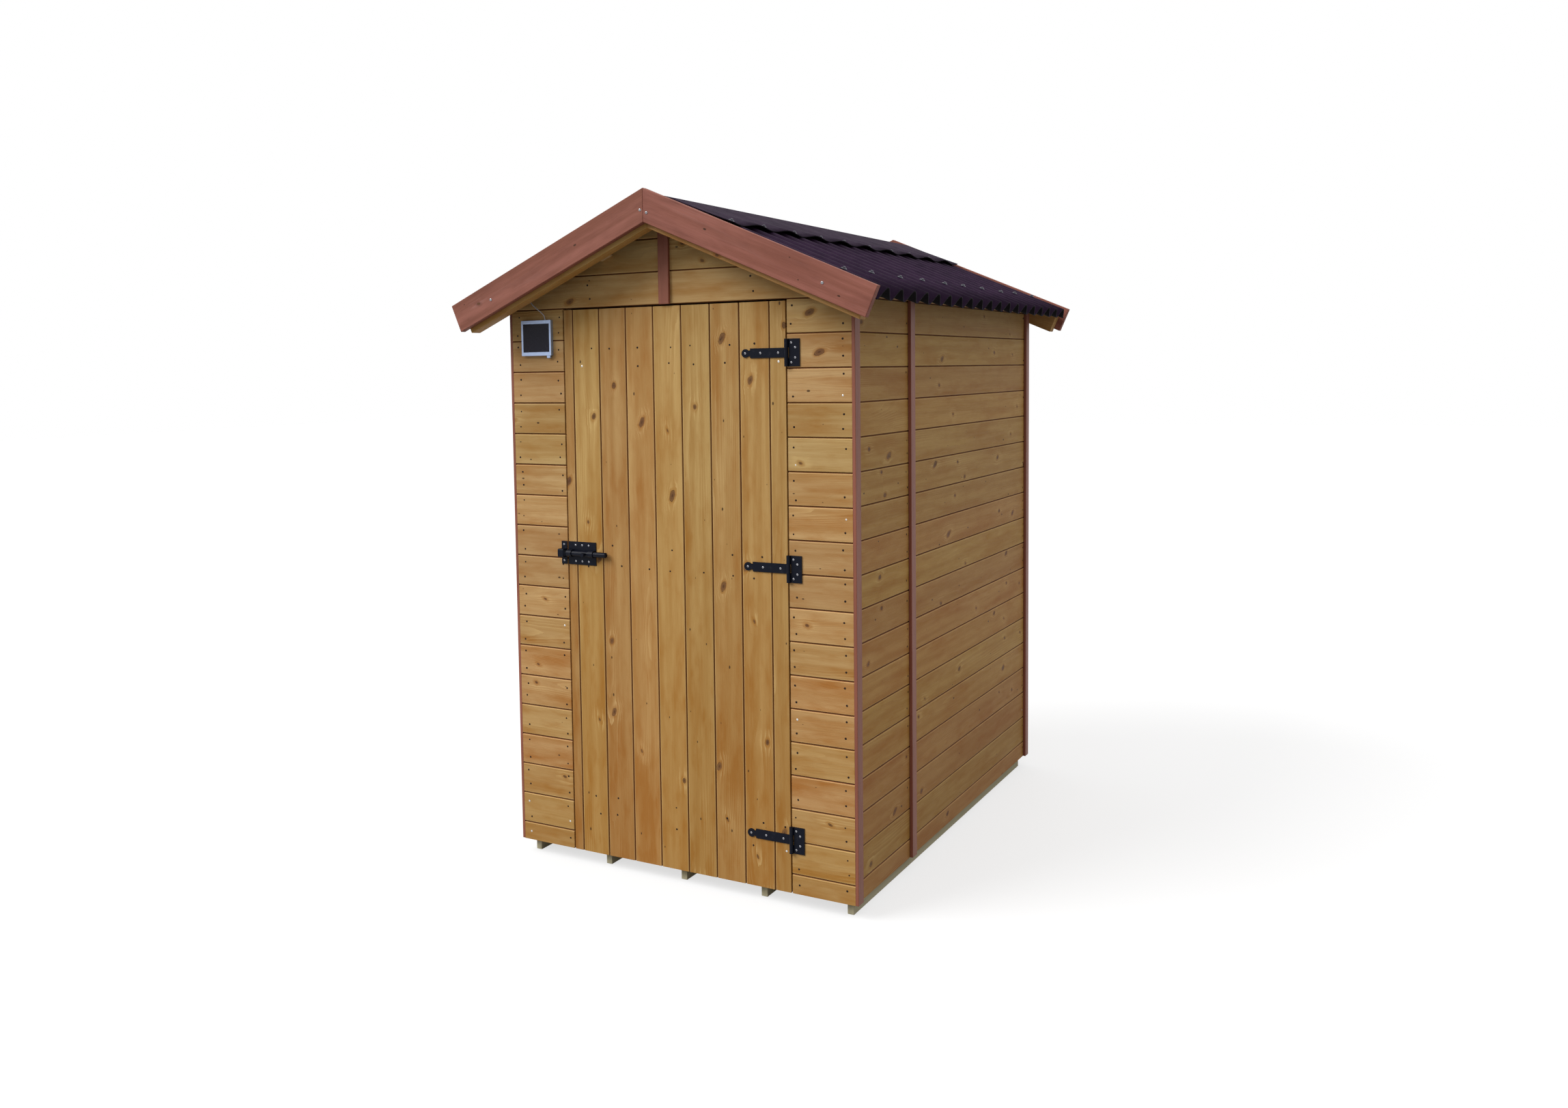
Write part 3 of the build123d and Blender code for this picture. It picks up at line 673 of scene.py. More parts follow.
def steel(name, colour, roughness, metallic=1.0, play=0.25, specular=0.5):
    """Metal with a slightly uneven surface."""
    material, shader, place = start_material(name, Specular_IOR_Level=specular, Metallic=metallic)
    cloud = noise(place, 120.0, 3.0)
    dark = tuple(part * (1.0 - play) for part in colour[:3]) + (1,)
    finish(shader, Base_Color=cloud.mixed(colour, dark), Roughness=cloud * 0.3 + (roughness - 0.15))
    return material


def turn_to(mesh, facing):
    """Turns a mesh that faces up, so that it faces this way."""
    mesh.transform(Vector((0, 0, 1)).rotation_difference(Vector(facing)).to_matrix().to_4x4())


def lathed(name, outline, sides, facing):
    """A round head turned from (radius, height) points, facing a direction."""
    work = bmesh.new()
    rings = []
    for radius, height in outline:
        if radius == 0.0:
            rings.append([work.verts.new((0.0, 0.0, height))] * sides)
            continue
        ring = []
        for side in range(sides):
            angle = 2 * math.pi * side / sides
            ring.append(work.verts.new((radius * math.cos(angle), radius * math.sin(angle), height)))
        rings.append(ring)
    for upper, lower in zip(rings, rings[1:]):
        for side in range(sides):
            after = (side + 1) % sides
            corners = []
            for corner in (upper[side], lower[side], lower[after], upper[after]):
                if corner not in corners:
                    corners.append(corner)
            work.faces.new(corners)
    if rings[-1][0] is not rings[-1][1]:
        work.faces.new(reversed(rings[-1]))
    bmesh.ops.recalc_face_normals(work, faces=work.faces)
    mesh = mesh_from(work, name)
    turn_to(mesh, facing)
    return added(name, mesh)


def fixing_tree():
    """Copies of a head at points, each turned by chance about the way it faces and sunk by chance."""
    tree, wires = new_tree("fixings at points", {
        "Points": "Geometry", "Head": "Object", "Facing": "Vector", "Spin": "Float", "Sink": "Float",
        "Seed": "Int", "Material": "Material",
    })
    depth = at_random(wires["Sink"] * -1.0, wires["Seed"])
    points = moved(wires["Points"], wires["Facing"], depth)
    points = points.node("GeometryNodeMeshToPoints", {"Mesh": points}, mode="VERTICES")
    angle = at_random(wires["Spin"], wires["Seed"] + 5.0)
    turned = angle.node("FunctionNodeAxisAngleToRotation", {"Axis": wires["Facing"], "Angle": angle})
    end_tree(tree, copied(points, wires["Head"], Rotation=turned), wires["Material"])
    return tree


def fixings(name, head, facing, points, material, body, seed=1, sink=0.0):
    """One piece with a head at each point."""
    piece = grown(name, fixings_at_points, {
        "Head": head, "Facing": Vector(facing), "Spin": 2 * math.pi, "Sink": sink, "Seed": seed,
        "Material": material,
    }, points)
    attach(piece, body)


fixings_at_points = fixing_tree()
dark_nail = steel("nail steel, dark", DARK_STEEL, 0.65, metallic=0.0, specular=0.12)
bright_nail = steel("nail steel, bright", BRIGHT_STEEL, 0.35)
nail_outline = [(0.0, NAIL_RISE), (NAIL_RADIUS * 0.6, NAIL_RISE * 0.9), (NAIL_RADIUS, NAIL_RISE * 0.2),
                (NAIL_RADIUS, -NAIL_SINK)]
chance = random.Random(41)


def nail_points(columns, inward, rows_low, rows_high, keep=NAILS_DRIVEN, limit=None):
    """Two nails to a board in each column. A column is a point on the face at height 0."""
    points = []
    row = first_edge
    while row < rows_high:
        for column in columns:
            for from_joint in (NAIL_FROM_JOINT, BOARD_PITCH - NAIL_FROM_JOINT):
                height = row + from_joint + chance.uniform(-NAIL_STRAY, NAIL_STRAY)
                stray = chance.uniform(-NAIL_STRAY, NAIL_STRAY) * 0.7
                point = Vector(column) + Vector((stray * abs(inward[1]), stray * abs(inward[0]), height))
                inside = rows_low + NAIL_MARGIN < height < rows_high - NAIL_MARGIN
                if inside and chance.random() < keep and (limit is None or limit(point)):
                    points.append(point)
        row += BOARD_PITCH
    return points


def nail_in(name, facing, points, body):
    """Dark nails and a few bright ones, in two pieces."""
    head = lathed(name + ".pattern", nail_outline, NAIL_SIDES, facing)
    bright = [point for point in points if chance.random() < BRIGHT_SHARE]
    dark = [point for point in points if point not in bright]
    for ending, chosen, material in (("_dark", dark, dark_nail), ("_bright", bright, bright_nail)):
        fixings(name + ending, head, facing, chosen, material, body, sink=NAIL_RISE * 0.8)
    bpy.data.objects.remove(head)


def under_roof(point):
    """Whether a nail in a gable is clear of the roof."""
    return point.z < eave_top + (side_x - abs(point.x)) * math.tan(ROOF_SLOPE) - ROOF_MARGIN


strip_low, strip_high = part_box("side_strips")
lath_width = strip_high.y - strip_low.y
near_door, near_corner = opening_side + NAIL_INSET, side_x - NAIL_INSET * 1.4
front_columns = [(x, front_y, 0.0) for x in (near_door, -near_door, near_corner, -near_corner)]
front_nails = nail_points(front_columns, (0, 1, 0), wall_bottom, opening_top)
gable_columns = [(x, front_y, 0.0) for x in (-side_x + GABLE_INSET, *GABLE_NAILS_X, side_x - GABLE_INSET)]
front_nails += nail_points(gable_columns, (0, 1, 0), opening_top, NAILS_END, limit=under_roof)
nail_in("front_nails", (0, -1, 0), front_nails, "hut")
back_columns = [(x, back_y, 0.0) for x in (-side_x + BACK_INSET, 0.0, side_x - BACK_INSET)]
back_nails = nail_points(back_columns, (0, 1, 0), wall_bottom, NAILS_END, limit=under_roof)
nail_in("back_nails", (0, 1, 0), back_nails, "hut")
side_places = [front_y + lath_width + NAIL_INSET * 0.6, joint_y - lath_width / 2 - NAIL_INSET * 0.7,
               joint_y + lath_width / 2 + NAIL_INSET * 0.6, back_y - lath_width - NAIL_INSET * 0.6]
for name, sign in (("right_nails", 1), ("left_nails", -1)):
    columns = [(sign * side_x, y, 0.0) for y in side_places]
    side_nails = nail_points(columns, (1, 0, 0), wall_bottom, eave_top - SIDE_TOP_MARGIN, SIDE_NAILS_DRIVEN)
    nail_in(name, (sign, 0, 0), side_nails, "hut")

# Roof timbers
# Ochre rafters at the front and back, with red-brown bargeboards screwed on over them.
# They are mitred upright at the apex and cut square at the eaves.
ROOF_EASE = 0.0018
BARGE_DEPTH = 0.087
RAFTER_DEPTH = 0.100
SHEET_DROP = 0.038

barge_low, barge_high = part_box("bargeboard_front_right")
roof_top = barge_high.z
ridge_across = roof_top * math.cos(ROOF_SLOPE)
for hand, turn_y, seed in (("right", -ROOF_SLOPE, 31.0), ("left", ROOF_SLOPE, 37.0)):
    red_sloping = stained_boards("red-brown pine, " + hand, "X", ridge_across - BARGE_DEPTH, seed,
                                 pitch=BARGE_DEPTH, knots=0.22, light=RED_LIGHT, dark=RED_DARK,
                                 deep=RED_DEEP, pale=RED_PALE, turn_y=turn_y, joint_shade_and_highlight=0.0)
    ochre_sloping = stained_boards("ochre pine, " + hand, "X", ridge_across - RAFTER_DEPTH, seed + 2.0,
                                   pitch=RAFTER_DEPTH - SHEET_DROP, knots=0.35, turn_y=turn_y, joint_shade_and_highlight=0.0)
    for end in ("front", "back"):
        eased("bargeboard_" + end + "_" + hand, ROOF_EASE, red_sloping)
        eased("rafter_" + end + "_" + hand, ROOF_EASE, ochre_sloping)

# Roof sheets
# Two corrugated sheets of bitumen and fibre, dark aubergine brown and matt, nailed to the purlins.
# Each is a wave of 95 mm pitch carried down the slope, with its cut edge showing at the eave.
WAVE_PITCH = 0.095
WAVE_RISE = 0.033
SHEET_THICKNESS = 0.003
SHEET_STEPS = 16
RUN_STEPS = 6
CREST_DROP = 0.002
SHEET_START = 0.090
SHEET_END_GAP = 0.002
SHEET_MERGE = 0.00001
BITUMEN_LIGHT = (0.029, 0.012, 0.034, 1)
BITUMEN_DARK = (0.012, 0.005, 0.016, 1)
# Black below, as raw bitumen is, and made near black to stand for the shade under the roof: partly painted
# shade.
BITUMEN_UNDER_AND_SHADE = (0.0035, 0.0030, 0.0038, 1)

half_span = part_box("roof_sheet_right")[1].y
wave_count = round(2 * half_span / WAVE_PITCH)
sheet_end = barge_high.x / math.cos(ROOF_SLOPE) - SHEET_END_GAP


def bitumen(name):
    """Matt fibre board soaked with bitumen: painted above and black below, the black made deep enough to
    carry painted shade under the roof, with grit and dusty patches.
    """
    material, shader, place = start_material(name, Specular_IOR_Level=0.09)
    grit = noise(place, 900.0, 2.0)
    mottle = noise(place, 26.0, 4.0, 0.6)
    patches = noise(place, 4.0, 3.0)
    tone = mottle.clamped(0.3, 0.7) * 0.45 + grit * 0.3 + patches.clamped(0.35, 0.7) * 0.25
    normal = place.node("ShaderNodeTexCoord", output="Normal")
    underside_and_shade = 1.0 - normal.axis("Z").clamped(-0.05, 0.05)
    above = tone.mixed(BITUMEN_LIGHT, BITUMEN_DARK)
    finish(shader, Base_Color=underside_and_shade.mixed(above, BITUMEN_UNDER_AND_SHADE), Roughness=mottle * 0.2 + 0.66,
           Normal=bump(grit * 0.7 + mottle * 0.6, 0.0008))
    return material


def on_slope(distance, rise, y, sign=1):
    """Point on a slope: its distance down from the apex, its rise square to the slope's own plane."""
    x = distance * math.cos(ROOF_SLOPE) + rise * math.sin(ROOF_SLOPE)
    z = roof_top - distance * math.sin(ROOF_SLOPE) + rise * math.cos(ROOF_SLOPE)
    return Vector((sign * x, y, z))


def sheet_tree():
    """A flat grid lifted into a wave, thickened, and turned down the slope."""
    tree, wires = new_tree("corrugated sheet", {
        "Run": "Float", "Span": "Float", "Pitch": "Float", "Rise": "Float", "Thickness": "Float",
        "Run Steps": "Int", "Span Steps": "Int", "Place": "Vector", "Turn": "Vector",
        "Material": "Material",
    })
    grid = wires["Run"].node("GeometryNodeMeshGrid", {
        "Size X": wires["Run"], "Size Y": wires["Span"],
        "Vertices X": wires["Run Steps"], "Vertices Y": wires["Span Steps"],
    }, "Mesh")
    place = grid.node("GeometryNodeInputPosition")
    phase = (place.axis("Y") + wires["Span"] * 0.5) / wires["Pitch"] * (2 * math.pi)
    height = (1.0 - phase.math("COSINE")) * wires["Rise"] * 0.5
    wave = grid.node("GeometryNodeSetPosition", {"Geometry": grid, "Offset": joined(0.0, 0.0, height)})
    inputs = {"Mesh": wave, "Offset Scale": wires["Thickness"], "Individual": False}
    top = wave.node("GeometryNodeExtrudeMesh", inputs, mode="FACES")
    under = wave.node("GeometryNodeFlipFaces", {"Mesh": wave})
    both = wave.node("GeometryNodeJoinGeometry", {"Geometry": top})
    tree.links.new(under.socket, both.socket.node.inputs[0])
    shell = both.node("GeometryNodeMergeByDistance", {"Geometry": both, "Distance": SHEET_MERGE})
    inputs = {"Geometry": shell, "Translation": wires["Place"], "Rotation": wires["Turn"]}
    turned = shell.node("GeometryNodeTransform", inputs)
    end_tree(tree, turned, wires["Material"])
    return tree


corrugated_sheet = sheet_tree()
roof_bitumen = bitumen("bitumen sheet")
for node, sign in (("roof_sheet_right", 1), ("roof_sheet_left", -1)):
    middle = on_slope((SHEET_START + sheet_end) / 2, -CREST_DROP - WAVE_RISE - SHEET_THICKNESS, 0.0, sign)
    sheet = grown(node + ".wave", corrugated_sheet, {
        "Run": sheet_end - SHEET_START, "Span": wave_count * WAVE_PITCH, "Pitch": WAVE_PITCH,
        "Rise": WAVE_RISE, "Thickness": SHEET_THICKNESS, "Run Steps": RUN_STEPS,
        "Span Steps": wave_count * SHEET_STEPS + 1, "Place": middle,
        "Turn": Vector((0.0, sign * ROOF_SLOPE, 0.0)), "Material": roof_bitumen,
    })
    sheet.data.shade_smooth()
    in_place_of(node, sheet)

# Ridge cap
# One bent strip of the same bitumen board over the gap between the sheets.
# Its rims are nailed down on every second crest and lift a little between the nails.
CAP_WING = 0.295
CAP_BEND_RADIUS = 0.200
CAP_RIM_LIFT = 0.010
CAP_CLEARANCE = 0.0003
CAP_STEPS_PER_WAVE = 8
CAP_BEND_STEPS = 10
CAP_WING_STEPS = 6

bend_tangent = CAP_BEND_RADIUS * math.tan(ROOF_SLOPE)
cap_drop = CREST_DROP - CAP_CLEARANCE
bend_bottom = roof_top - cap_drop / math.cos(ROOF_SLOPE) - CAP_BEND_RADIUS / math.cos(ROOF_SLOPE)


def cap_row(y):
    """Points across the underside of the cap at y, from the left rim to the right one."""
    crests_along = (y + half_span) / WAVE_PITCH - 0.5
    lift = CAP_RIM_LIFT * (1.0 - math.cos(math.pi * crests_along)) / 2
    wing = []
    for step in range(1, CAP_WING_STEPS + 1):
        share = step / CAP_WING_STEPS
        distance = bend_tangent + (CAP_WING - bend_tangent) * share
        wing.append(on_slope(distance, -cap_drop + lift * share ** 1.5, y))
    bend = []
    for step in range(-CAP_BEND_STEPS, CAP_BEND_STEPS + 1):
        angle = ROOF_SLOPE * step / CAP_BEND_STEPS
        x, rise = CAP_BEND_RADIUS * math.sin(angle), CAP_BEND_RADIUS * math.cos(angle)
        bend.append(Vector((x, y, bend_bottom + rise)))
    left = [Vector((-point.x, point.y, point.z)) for point in reversed(wing)]
    return left + bend + wing


work = bmesh.new()
cap_stations = wave_count * CAP_STEPS_PER_WAVE
cap_rows = []
for station in range(cap_stations + 1):
    y = -half_span + 2 * half_span * station / cap_stations
    cap_rows.append([work.verts.new(point) for point in cap_row(y)])
for row, next_row in zip(cap_rows, cap_rows[1:]):
    for index in range(len(row) - 1):
        work.faces.new((row[index], row[index + 1], next_row[index + 1], next_row[index]))
bmesh.ops.recalc_face_normals(work, faces=work.faces)
if sum(face.normal.z for face in work.faces) < 0:
    bmesh.ops.reverse_faces(work, faces=work.faces)
cap_mesh = mesh_from(work, "ridge_cap.sheet")
cap_mesh.materials.append(roof_bitumen)
cap_mesh.shade_smooth()
ridge_cap = added("ridge_cap.sheet", cap_mesh)
thickness = ridge_cap.modifiers.new("thickness", "SOLIDIFY")
thickness.thickness = SHEET_THICKNESS
thickness.offset = 1.0
settle(ridge_cap)
in_place_of("ridge_cap", ridge_cap)

# Door leaf
# Vertical tongue-and-groove boards of the same stained pine, nailed from outside to three ledges.
# Two braces run between the ledges on the inside, down towards the hinges.
FIRST_DOOR_JOINT = -0.342
DOOR_NAIL_ROWS = 0.030
DOOR_NAIL_STRAY = 0.022
DOOR_NAIL_MARGIN = 0.008
DOOR_NAILS_DRIVEN = 0.85
STRAP_START = 0.225
STRAP_REACH = 0.018
HINGE_SPACE = 0.1

leaf_low, leaf_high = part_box("door_boards")
door_pine = stained_boards("stained pine, door", "Z", FIRST_DOOR_JOINT, 27.0,
                           knots=0.52, tone_play=0.12, low_shade=0.48)
door_way = ((0, 0, 1), (1, 0, 0), (0, 1, 0))
door_origin = Vector((FIRST_DOOR_JOINT - BOARD_PITCH, front_y, 0.0))
door_rows = math.ceil((leaf_high.x - door_origin.x) / BOARD_PITCH)
board_wall("door_boards", door_pine, door_way, leaf_low.z, leaf_high.z, door_origin, door_rows,
           [square_cut(0, leaf_low.x, -1), square_cut(0, leaf_high.x, 1)], 9)
eased("door_ledges", FRAME_EASE, bare_crossways)
eased("door_braces", FRAME_EASE, bare_upright)

hinge_spans = []
for height in sorted(vert.co.z for vert in nodes["hinge_straps"].data.vertices):
    if not hinge_spans or height - hinge_spans[-1][1] > HINGE_SPACE:
        hinge_spans.append([height, height])
    hinge_spans[-1][1] = height
hinge_heights = [(low + high) / 2 for low, high in hinge_spans]
door_nails = []
for row in range(door_rows):
    for height in hinge_heights:
        for offset in (-DOOR_NAIL_ROWS, DOOR_NAIL_ROWS):
            stray = chance.uniform(-DOOR_NAIL_STRAY, DOOR_NAIL_STRAY)
            x = door_origin.x + (row + 0.5) * BOARD_PITCH + stray
            z = height + offset + chance.uniform(-NAIL_STRAY, NAIL_STRAY)
            inside = leaf_low.x + DOOR_NAIL_MARGIN < x < leaf_high.x - DOOR_NAIL_MARGIN
            under_iron = x > STRAP_START and abs(z - height) < STRAP_REACH
            if inside and not under_iron and chance.random() < DOOR_NAILS_DRIVEN:
                door_nails.append(Vector((x, front_y, z)))
nail_in("door_nails", (0, -1, 0), door_nails, "door")

# Hinges and bolt
# T-hinges and a slide bolt of pressed steel, powder painted black, a little glossy.
# They are held by zinc-plated pan-head screws with a cross recess, and larger ones hold the bargeboards.
SCREW_RADIUS = 0.0034
SCREW_RISE = 0.0019
SCREW_SINK = 0.0005
SCREW_SIDES = 16
RECESS_WIDTH = 0.0011
RECESS_LENGTH = 0.0038
RECESS_DEPTH = 0.0012
IRON_THICKNESS = 0.0025
IRON_BLACK = (0.0025, 0.0040, 0.0100, 1)
IRON_WORN = (0.012, 0.013, 0.021, 1)
STRAP_SCREW_X = (0.249, 0.297, 0.352)
PLATE_SCREWS = ((0.392, 0.027), (0.404, 0.014), (0.404, -0.014), (0.392, -0.027))
BOLT_PLATE_SCREW_X = (-0.346, -0.322, -0.298)
KEEPER_SCREW_X = -0.389
BOLT_SCREW_OFFSET = 0.0245
BARGE_SCREW_RADIUS = 0.0042
BARGE_SCREWS = ((-0.546, 1.742), (-0.009, 1.969), (0.012, 1.960), (0.546, 1.742))
ZINC = (0.34, 0.34, 0.36, 1)


def painted_iron(name):
    """Black powder paint: fine orange peel, and a thin grey rub here and there."""
    material, shader, place = start_material(name, Specular_IOR_Level=0.11)
    peel = noise(place, 700.0, 2.0)
    rub = noise(place, 60.0, 4.0, 0.65).clamped(0.55, 0.75)
    finish(shader, Base_Color=rub.mixed(IRON_BLACK, IRON_WORN), Roughness=peel * 0.12 + rub * 0.1 + 0.34,
           Normal=bump(peel, 0.0002))
    return material


def cut_with(piece, cutter):
    """Takes the cutter's shape out of a piece."""
    cut = piece.modifiers.new("cut", "BOOLEAN")
    cut.operation = "DIFFERENCE"
    cut.solver = "EXACT"
    cut.object = cutter
    settle(piece)
    bpy.data.objects.remove(cutter)


def block_object(name, size, middle):
    """A box-shaped cutter or blank."""
    work = bmesh.new()
    bmesh.ops.create_cube(work, size=1.0)
    bmesh.ops.scale(work, vec=size, verts=work.verts)
    bmesh.ops.translate(work, vec=middle, verts=work.verts)
    return added(name, mesh_from(work, name))


def screw_head(name, radius, facing):
    """A pan head with a cross recess, facing a direction."""
    share = radius / SCREW_RADIUS
    outline = [(0.0, SCREW_RISE), (radius * 0.55, SCREW_RISE), (radius * 0.85, SCREW_RISE * 0.75),
               (radius, SCREW_RISE * 0.25), (radius, -SCREW_SINK)]
    head = lathed(name, outline, SCREW_SIDES, (0, 0, 1))
    for x, y in ((RECESS_LENGTH, RECESS_WIDTH), (RECESS_WIDTH, RECESS_LENGTH)):
        size = (x * share, y * share, 2 * RECESS_DEPTH)
        cut_with(head, block_object("recess", size, (0.0, 0.0, SCREW_RISE)))
    turn_to(head.data, facing)
    return head


black_iron = painted_iron("black powder paint")
zinc = steel("zinc-plated steel", ZINC, 0.42)
for node in ("hinge_plates", "hinge_straps", "bolt_housing", "bolt", "bolt_keeper"):
    refinished(node, black_iron)

iron_face = front_y - IRON_THICKNESS
bolt_low, bolt_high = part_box("bolt_housing")
bolt_height = (bolt_low.z + bolt_high.z) / 2
bolt_screw_heights = (bolt_height - BOLT_SCREW_OFFSET, bolt_height + BOLT_SCREW_OFFSET)
plate_screws = [(x, z + offset) for z in hinge_heights for x, offset in PLATE_SCREWS]
plate_screws += [(KEEPER_SCREW_X, z) for z in bolt_screw_heights]
strap_screws = [(x, z) for z in hinge_heights for x in STRAP_SCREW_X]
strap_screws += [(x, z) for x in BOLT_PLATE_SCREW_X for z in bolt_screw_heights]
for name, radius, sign, y, places, body, seed in (
    ("plate_screws", SCREW_RADIUS, -1, iron_face, plate_screws, "hut", 3),
    ("strap_screws", SCREW_RADIUS, -1, iron_face, strap_screws, "door", 4),
    ("bargeboard_screws_front", BARGE_SCREW_RADIUS, -1, barge_low.y, BARGE_SCREWS, "hut", 5),
    ("bargeboard_screws_back", BARGE_SCREW_RADIUS, 1, -barge_low.y, BARGE_SCREWS, "hut", 6),
):
    head = screw_head(name + ".pattern", radius, (0, sign, 0))
    points = [Vector((x, y, z)) for x, z in places]
    fixings(name, head, (0, sign, 0), points, zinc, body, seed)
    bpy.data.objects.remove(head)

# Roof fixings
# Galvanised nails with domed saddle washers, driven through the crests of the waves.
# One row lies near each eave, and one near each rim of the ridge cap, on every second crest.
WASHER_RADIUS = 0.0088
WASHER_RISE = 0.0030
WASHER_EDGE = 0.0004
WASHER_SINK = 0.0006
WASHER_SIDES = 18
ROOF_NAIL_RADIUS = 0.0042
ROOF_NAIL_RISE = 0.0062
EAVE_ROW = 0.575 / math.cos(ROOF_SLOPE)
CAP_ROW = 0.262
ROOF_STRAY = 0.006
GALVANISED = (0.12, 0.12, 0.145, 1)

galvanised = steel("galvanised steel", GALVANISED, 0.30, play=0.6)
washer_outline = [(0.0, ROOF_NAIL_RISE), (ROOF_NAIL_RADIUS * 0.7, ROOF_NAIL_RISE * 0.93),
                  (ROOF_NAIL_RADIUS, ROOF_NAIL_RISE * 0.7), (ROOF_NAIL_RADIUS, WASHER_RISE),
                  (WASHER_RADIUS * 0.75, WASHER_RISE * 0.75), (WASHER_RADIUS, WASHER_EDGE),
                  (WASHER_RADIUS, -WASHER_SINK)]
for name, sign in (("roof_nails_right", 1), ("roof_nails_left", -1)):
    facing = (sign * math.sin(ROOF_SLOPE), 0.0, math.cos(ROOF_SLOPE))
    head = lathed(name + ".pattern", washer_outline, WASHER_SIDES, facing)
    points = []
    for crest in range(0, wave_count, 2):
        y = -half_span + (crest + 0.5) * WAVE_PITCH
        for distance, rise in ((EAVE_ROW, -CREST_DROP), (CAP_ROW, -cap_drop + SHEET_THICKNESS)):
            points.append(on_slope(distance + chance.uniform(-ROOF_STRAY, ROOF_STRAY), rise, y, sign))
    fixings(name, head, facing, points, galvanised, "hut", 7)
    bpy.data.objects.remove(head)

# Solar panel
# A small panel in a folded aluminium frame, with a dark cell under glass.
# A clip holds its corner, and its thin grey lead goes up under the roof into a hole in the gable.
CELL_FINGERS = 0.0022
CELL_BLACK = (0.012, 0.011, 0.018, 1)
CELL_BLUE = (0.022, 0.020, 0.040, 1)
# The frame's blue tint is a painted reflection of the sky in the metal.
ALUMINIUM_PAINTED_REFLECTION = (0.38, 0.47, 0.66, 1)
LEAD_GREY = (0.66, 0.64, 0.67, 1)
LEAD_DIAMETER = 0.0032
LEAD_SHADE = (0.40, 0.39, 0.42, 1)
LEAD_BENDS = (
    (0.0310, -0.0060, 0.0), (0.0310, -0.0060, 0.0100), (0.0220, -0.0075, 0.0210),
    (-0.0080, -0.0090, 0.0430), (-0.0190, -0.0095, 0.0550), (-0.0250, -0.0080, 0.0635),
    (-0.0265, -0.0015, 0.0670), (-0.0265, 0.0060, 0.0670),
)
PANEL_EASE = 0.0008
CLIP_SIZE = (0.013, 0.007, 0.009)
CLIP_OFFSET = (-0.012, 0.006, -0.003)
CLIP_EASE = 0.001

cell, cell_shader, cell_place = start_material("solar cell under glass", Specular_IOR_Level=0.15)
finger = (cell_place.axis("Z") / CELL_FINGERS).math("FRACT") > 0.86
cloud = noise(cell_place, 40.0, 2.0)
cell_colour = (finger * 0.5 + cloud * 0.35).mixed(CELL_BLACK, CELL_BLUE)
finish(cell_shader, Base_Color=cell_colour, Roughness=cloud * 0.1 + 0.22)
refinished("solar_cell", cell)
aluminium = steel("satin aluminium", ALUMINIUM_PAINTED_REFLECTION, 0.45, metallic=0.75, play=0.15)
eased("solar_frame", PANEL_EASE, aluminium)

panel_low, panel_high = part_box("solar_frame")
panel_corner = Vector((panel_high.x, panel_low.y, panel_low.z))
clip = block_object("panel_clip", CLIP_SIZE, panel_corner + Vector(CLIP_OFFSET))
clip.data.materials.append(aluminium)
work = bmesh.new()
work.from_mesh(clip.data)
bmesh.ops.bevel(work, geom=work.edges[:], offset=CLIP_EASE, segments=2, profile=0.5, affect="EDGES")
work.to_mesh(clip.data)
work.free()
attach(clip, "hut")

panel_x = (panel_low.x + panel_high.x) / 2
lead_route = [(panel_x + x, front_y + y, panel_high.z + z) for x, y, z in LEAD_BENDS]
lead_curve = bpy.data.curves.new("panel_lead", "CURVE")
lead_curve.dimensions = "3D"
spline = lead_curve.splines.new("NURBS")
spline.points.add(len(lead_route) - 1)
for point, place in zip(spline.points, lead_route):
    point.co = (*place, 1.0)
spline.order_u = 3
spline.use_endpoint_u = True
lead_curve.resolution_u = 12
lead_curve.bevel_depth = LEAD_DIAMETER / 2
lead_curve.bevel_resolution = 4
lead_curve.use_fill_caps = True
lead_material, lead_shader, lead_place = start_material("grey lead", Specular_IOR_Level=0.4)
scuff = noise(lead_place, 300.0, 2.0)
finish(lead_shader, Base_Color=scuff.mixed(LEAD_GREY, LEAD_SHADE), Roughness=scuff * 0.2 + 0.45)
lead_curve.materials.append(lead_material)
lead = added("panel_lead", lead_curve)
in_place_of("solar_cord", lead)

# Studio
# A pale floor that runs out to a white background, a broad soft lamp from the front left, and even light.
# The floor throws less light up under the roof than its own brightness would.
FLOOR_SIZE = 60.0
FLOOR_COLOUR = (0.31, 0.31, 0.31, 1)
FLOOR_SHADE = (0.29, 0.29, 0.29, 1)
FLOOR_GLOW = 0.68
FLOOR_BOUNCE = (0.18, 0.18, 0.18, 1)
LAMP_DIRECTION = (-0.75, -0.72, 0.85)
LAMP_STRENGTH = 2.85
LAMP_ANGLE = math.radians(38)
SKY_LOW = 0.26
SKY_RISE = 0.85
WHITE = (1.0, 1.0, 1.0, 1)


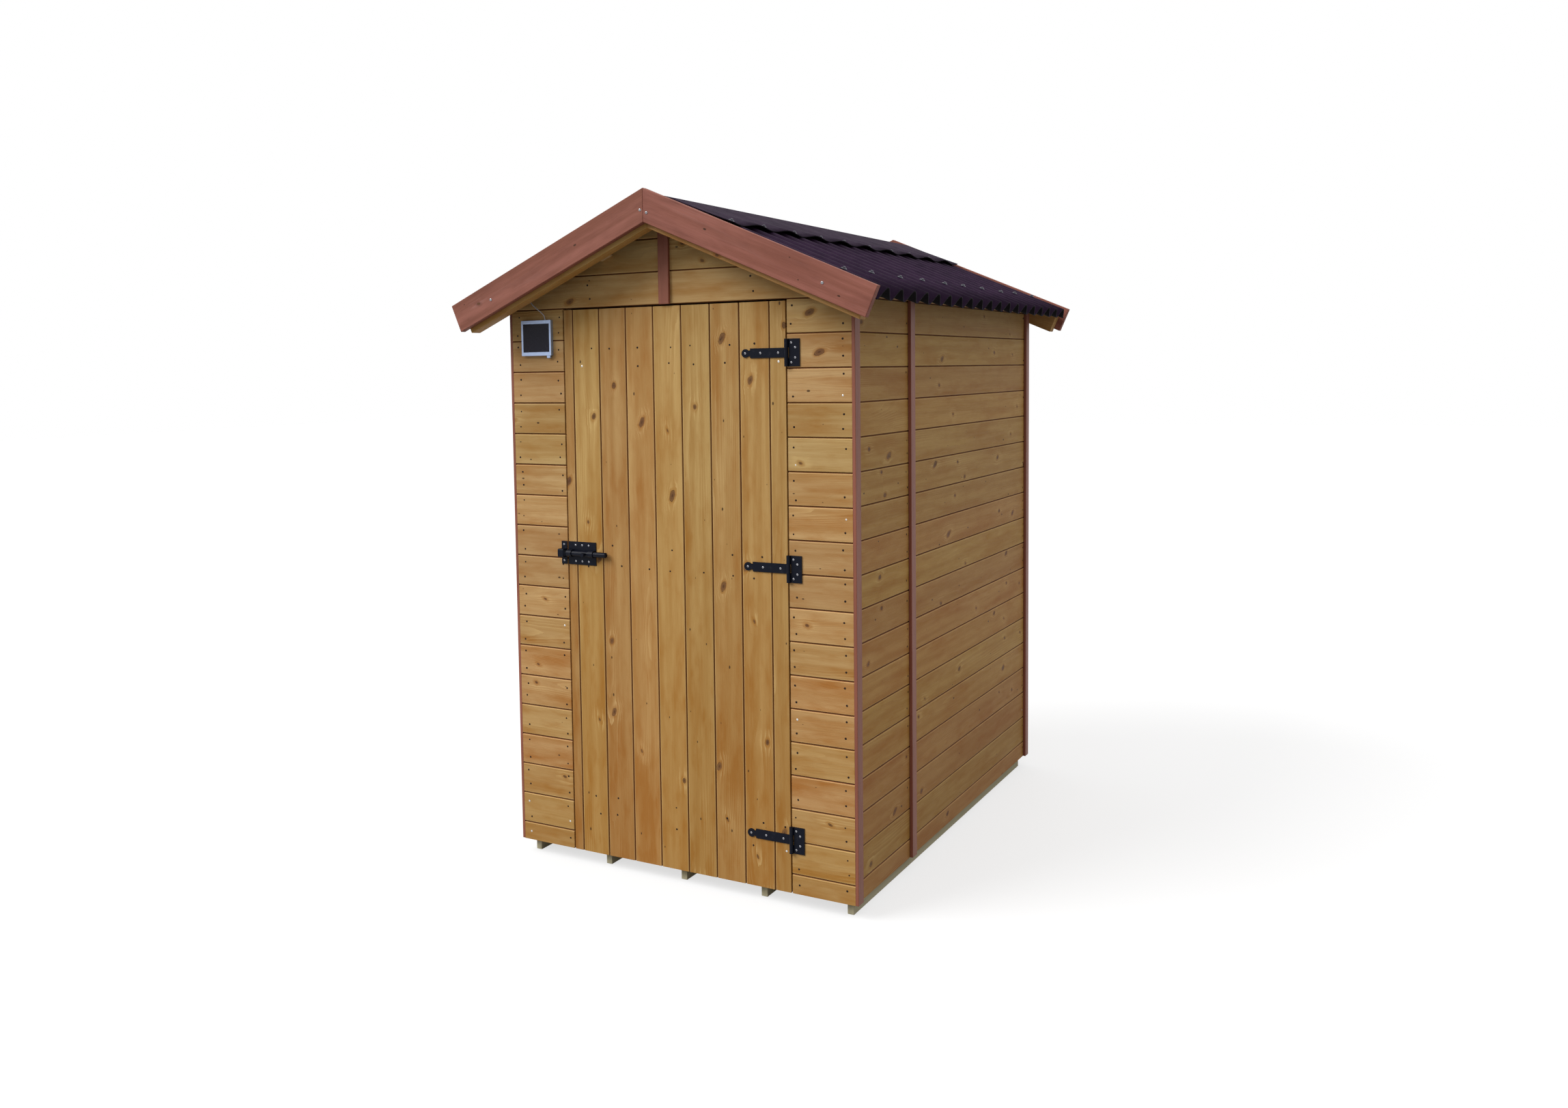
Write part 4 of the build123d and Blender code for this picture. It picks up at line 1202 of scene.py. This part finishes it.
def in_view(wire):
    """1 for rays from the camera, a mirror or glass, 0 for the rest."""
    rays = wire.node("ShaderNodeLightPath", output="Is Camera Ray")
    seen = rays + rays.output("Is Glossy Ray") + rays.output("Is Transmission Ray")
    return seen.math("MINIMUM", 1.0)


floor_mesh = bpy.data.meshes.new("floor")
half = FLOOR_SIZE / 2
corners = [(-half, -half, 0), (half, -half, 0), (half, half, 0), (-half, half, 0)]
floor_mesh.from_pydata(corners, [], [(0, 1, 2, 3)])
floor = added("floor", floor_mesh)
floor_material, floor_shader, floor_place = start_material("pale floor", Roughness=0.9,
                                                           Specular_IOR_Level=0.1)
finish(floor_shader, Base_Color=noise(floor_place, 0.6).mixed(FLOOR_COLOUR, FLOOR_SHADE))
glow = floor_place.node("ShaderNodeEmission", {"Color": WHITE, "Strength": FLOOR_GLOW}, "Emission")
lit = glow.node("ShaderNodeAddShader", {0: Wire(floor_shader.outputs[0]), 1: glow})
dull = glow.node("ShaderNodeBsdfDiffuse", {"Color": FLOOR_BOUNCE})
mixed_floor = glow.node("ShaderNodeMixShader", {0: in_view(glow), 1: dull, 2: lit})
floor_end = floor_material.node_tree.nodes["Material Output"]
floor_material.node_tree.links.new(mixed_floor.socket, floor_end.inputs["Surface"])
floor_mesh.materials.append(floor_material)

lamp = bpy.data.lights.new("soft lamp", "SUN")
lamp.energy = LAMP_STRENGTH
lamp.angle = LAMP_ANGLE
lamp_object = added("soft lamp", lamp)
lamp_object.rotation_euler = Vector(LAMP_DIRECTION).to_track_quat("Z", "Y").to_euler()

world = bpy.data.worlds.new("even light")
scene.world = world
world.use_nodes = True
world_tree = world.node_tree
background = Wire(world_tree.nodes["Background"].outputs[0])
background.socket.node.inputs["Color"].default_value = WHITE
direction = background.node("ShaderNodeTexCoord", output="Generated")
upward = direction.axis("Z").math("MAXIMUM", 0.0)
world_tree.links.new((upward * SKY_RISE + SKY_LOW).socket, background.socket.node.inputs["Strength"])
white_wall = background.node("ShaderNodeBackground", {"Color": WHITE, "Strength": 1.0}, "Background")
mixed_world = background.node("ShaderNodeMixShader", {0: in_view(background), 1: background, 2: white_wall})
world_tree.links.new(mixed_world.socket, world_tree.nodes["World Output"].inputs["Surface"])
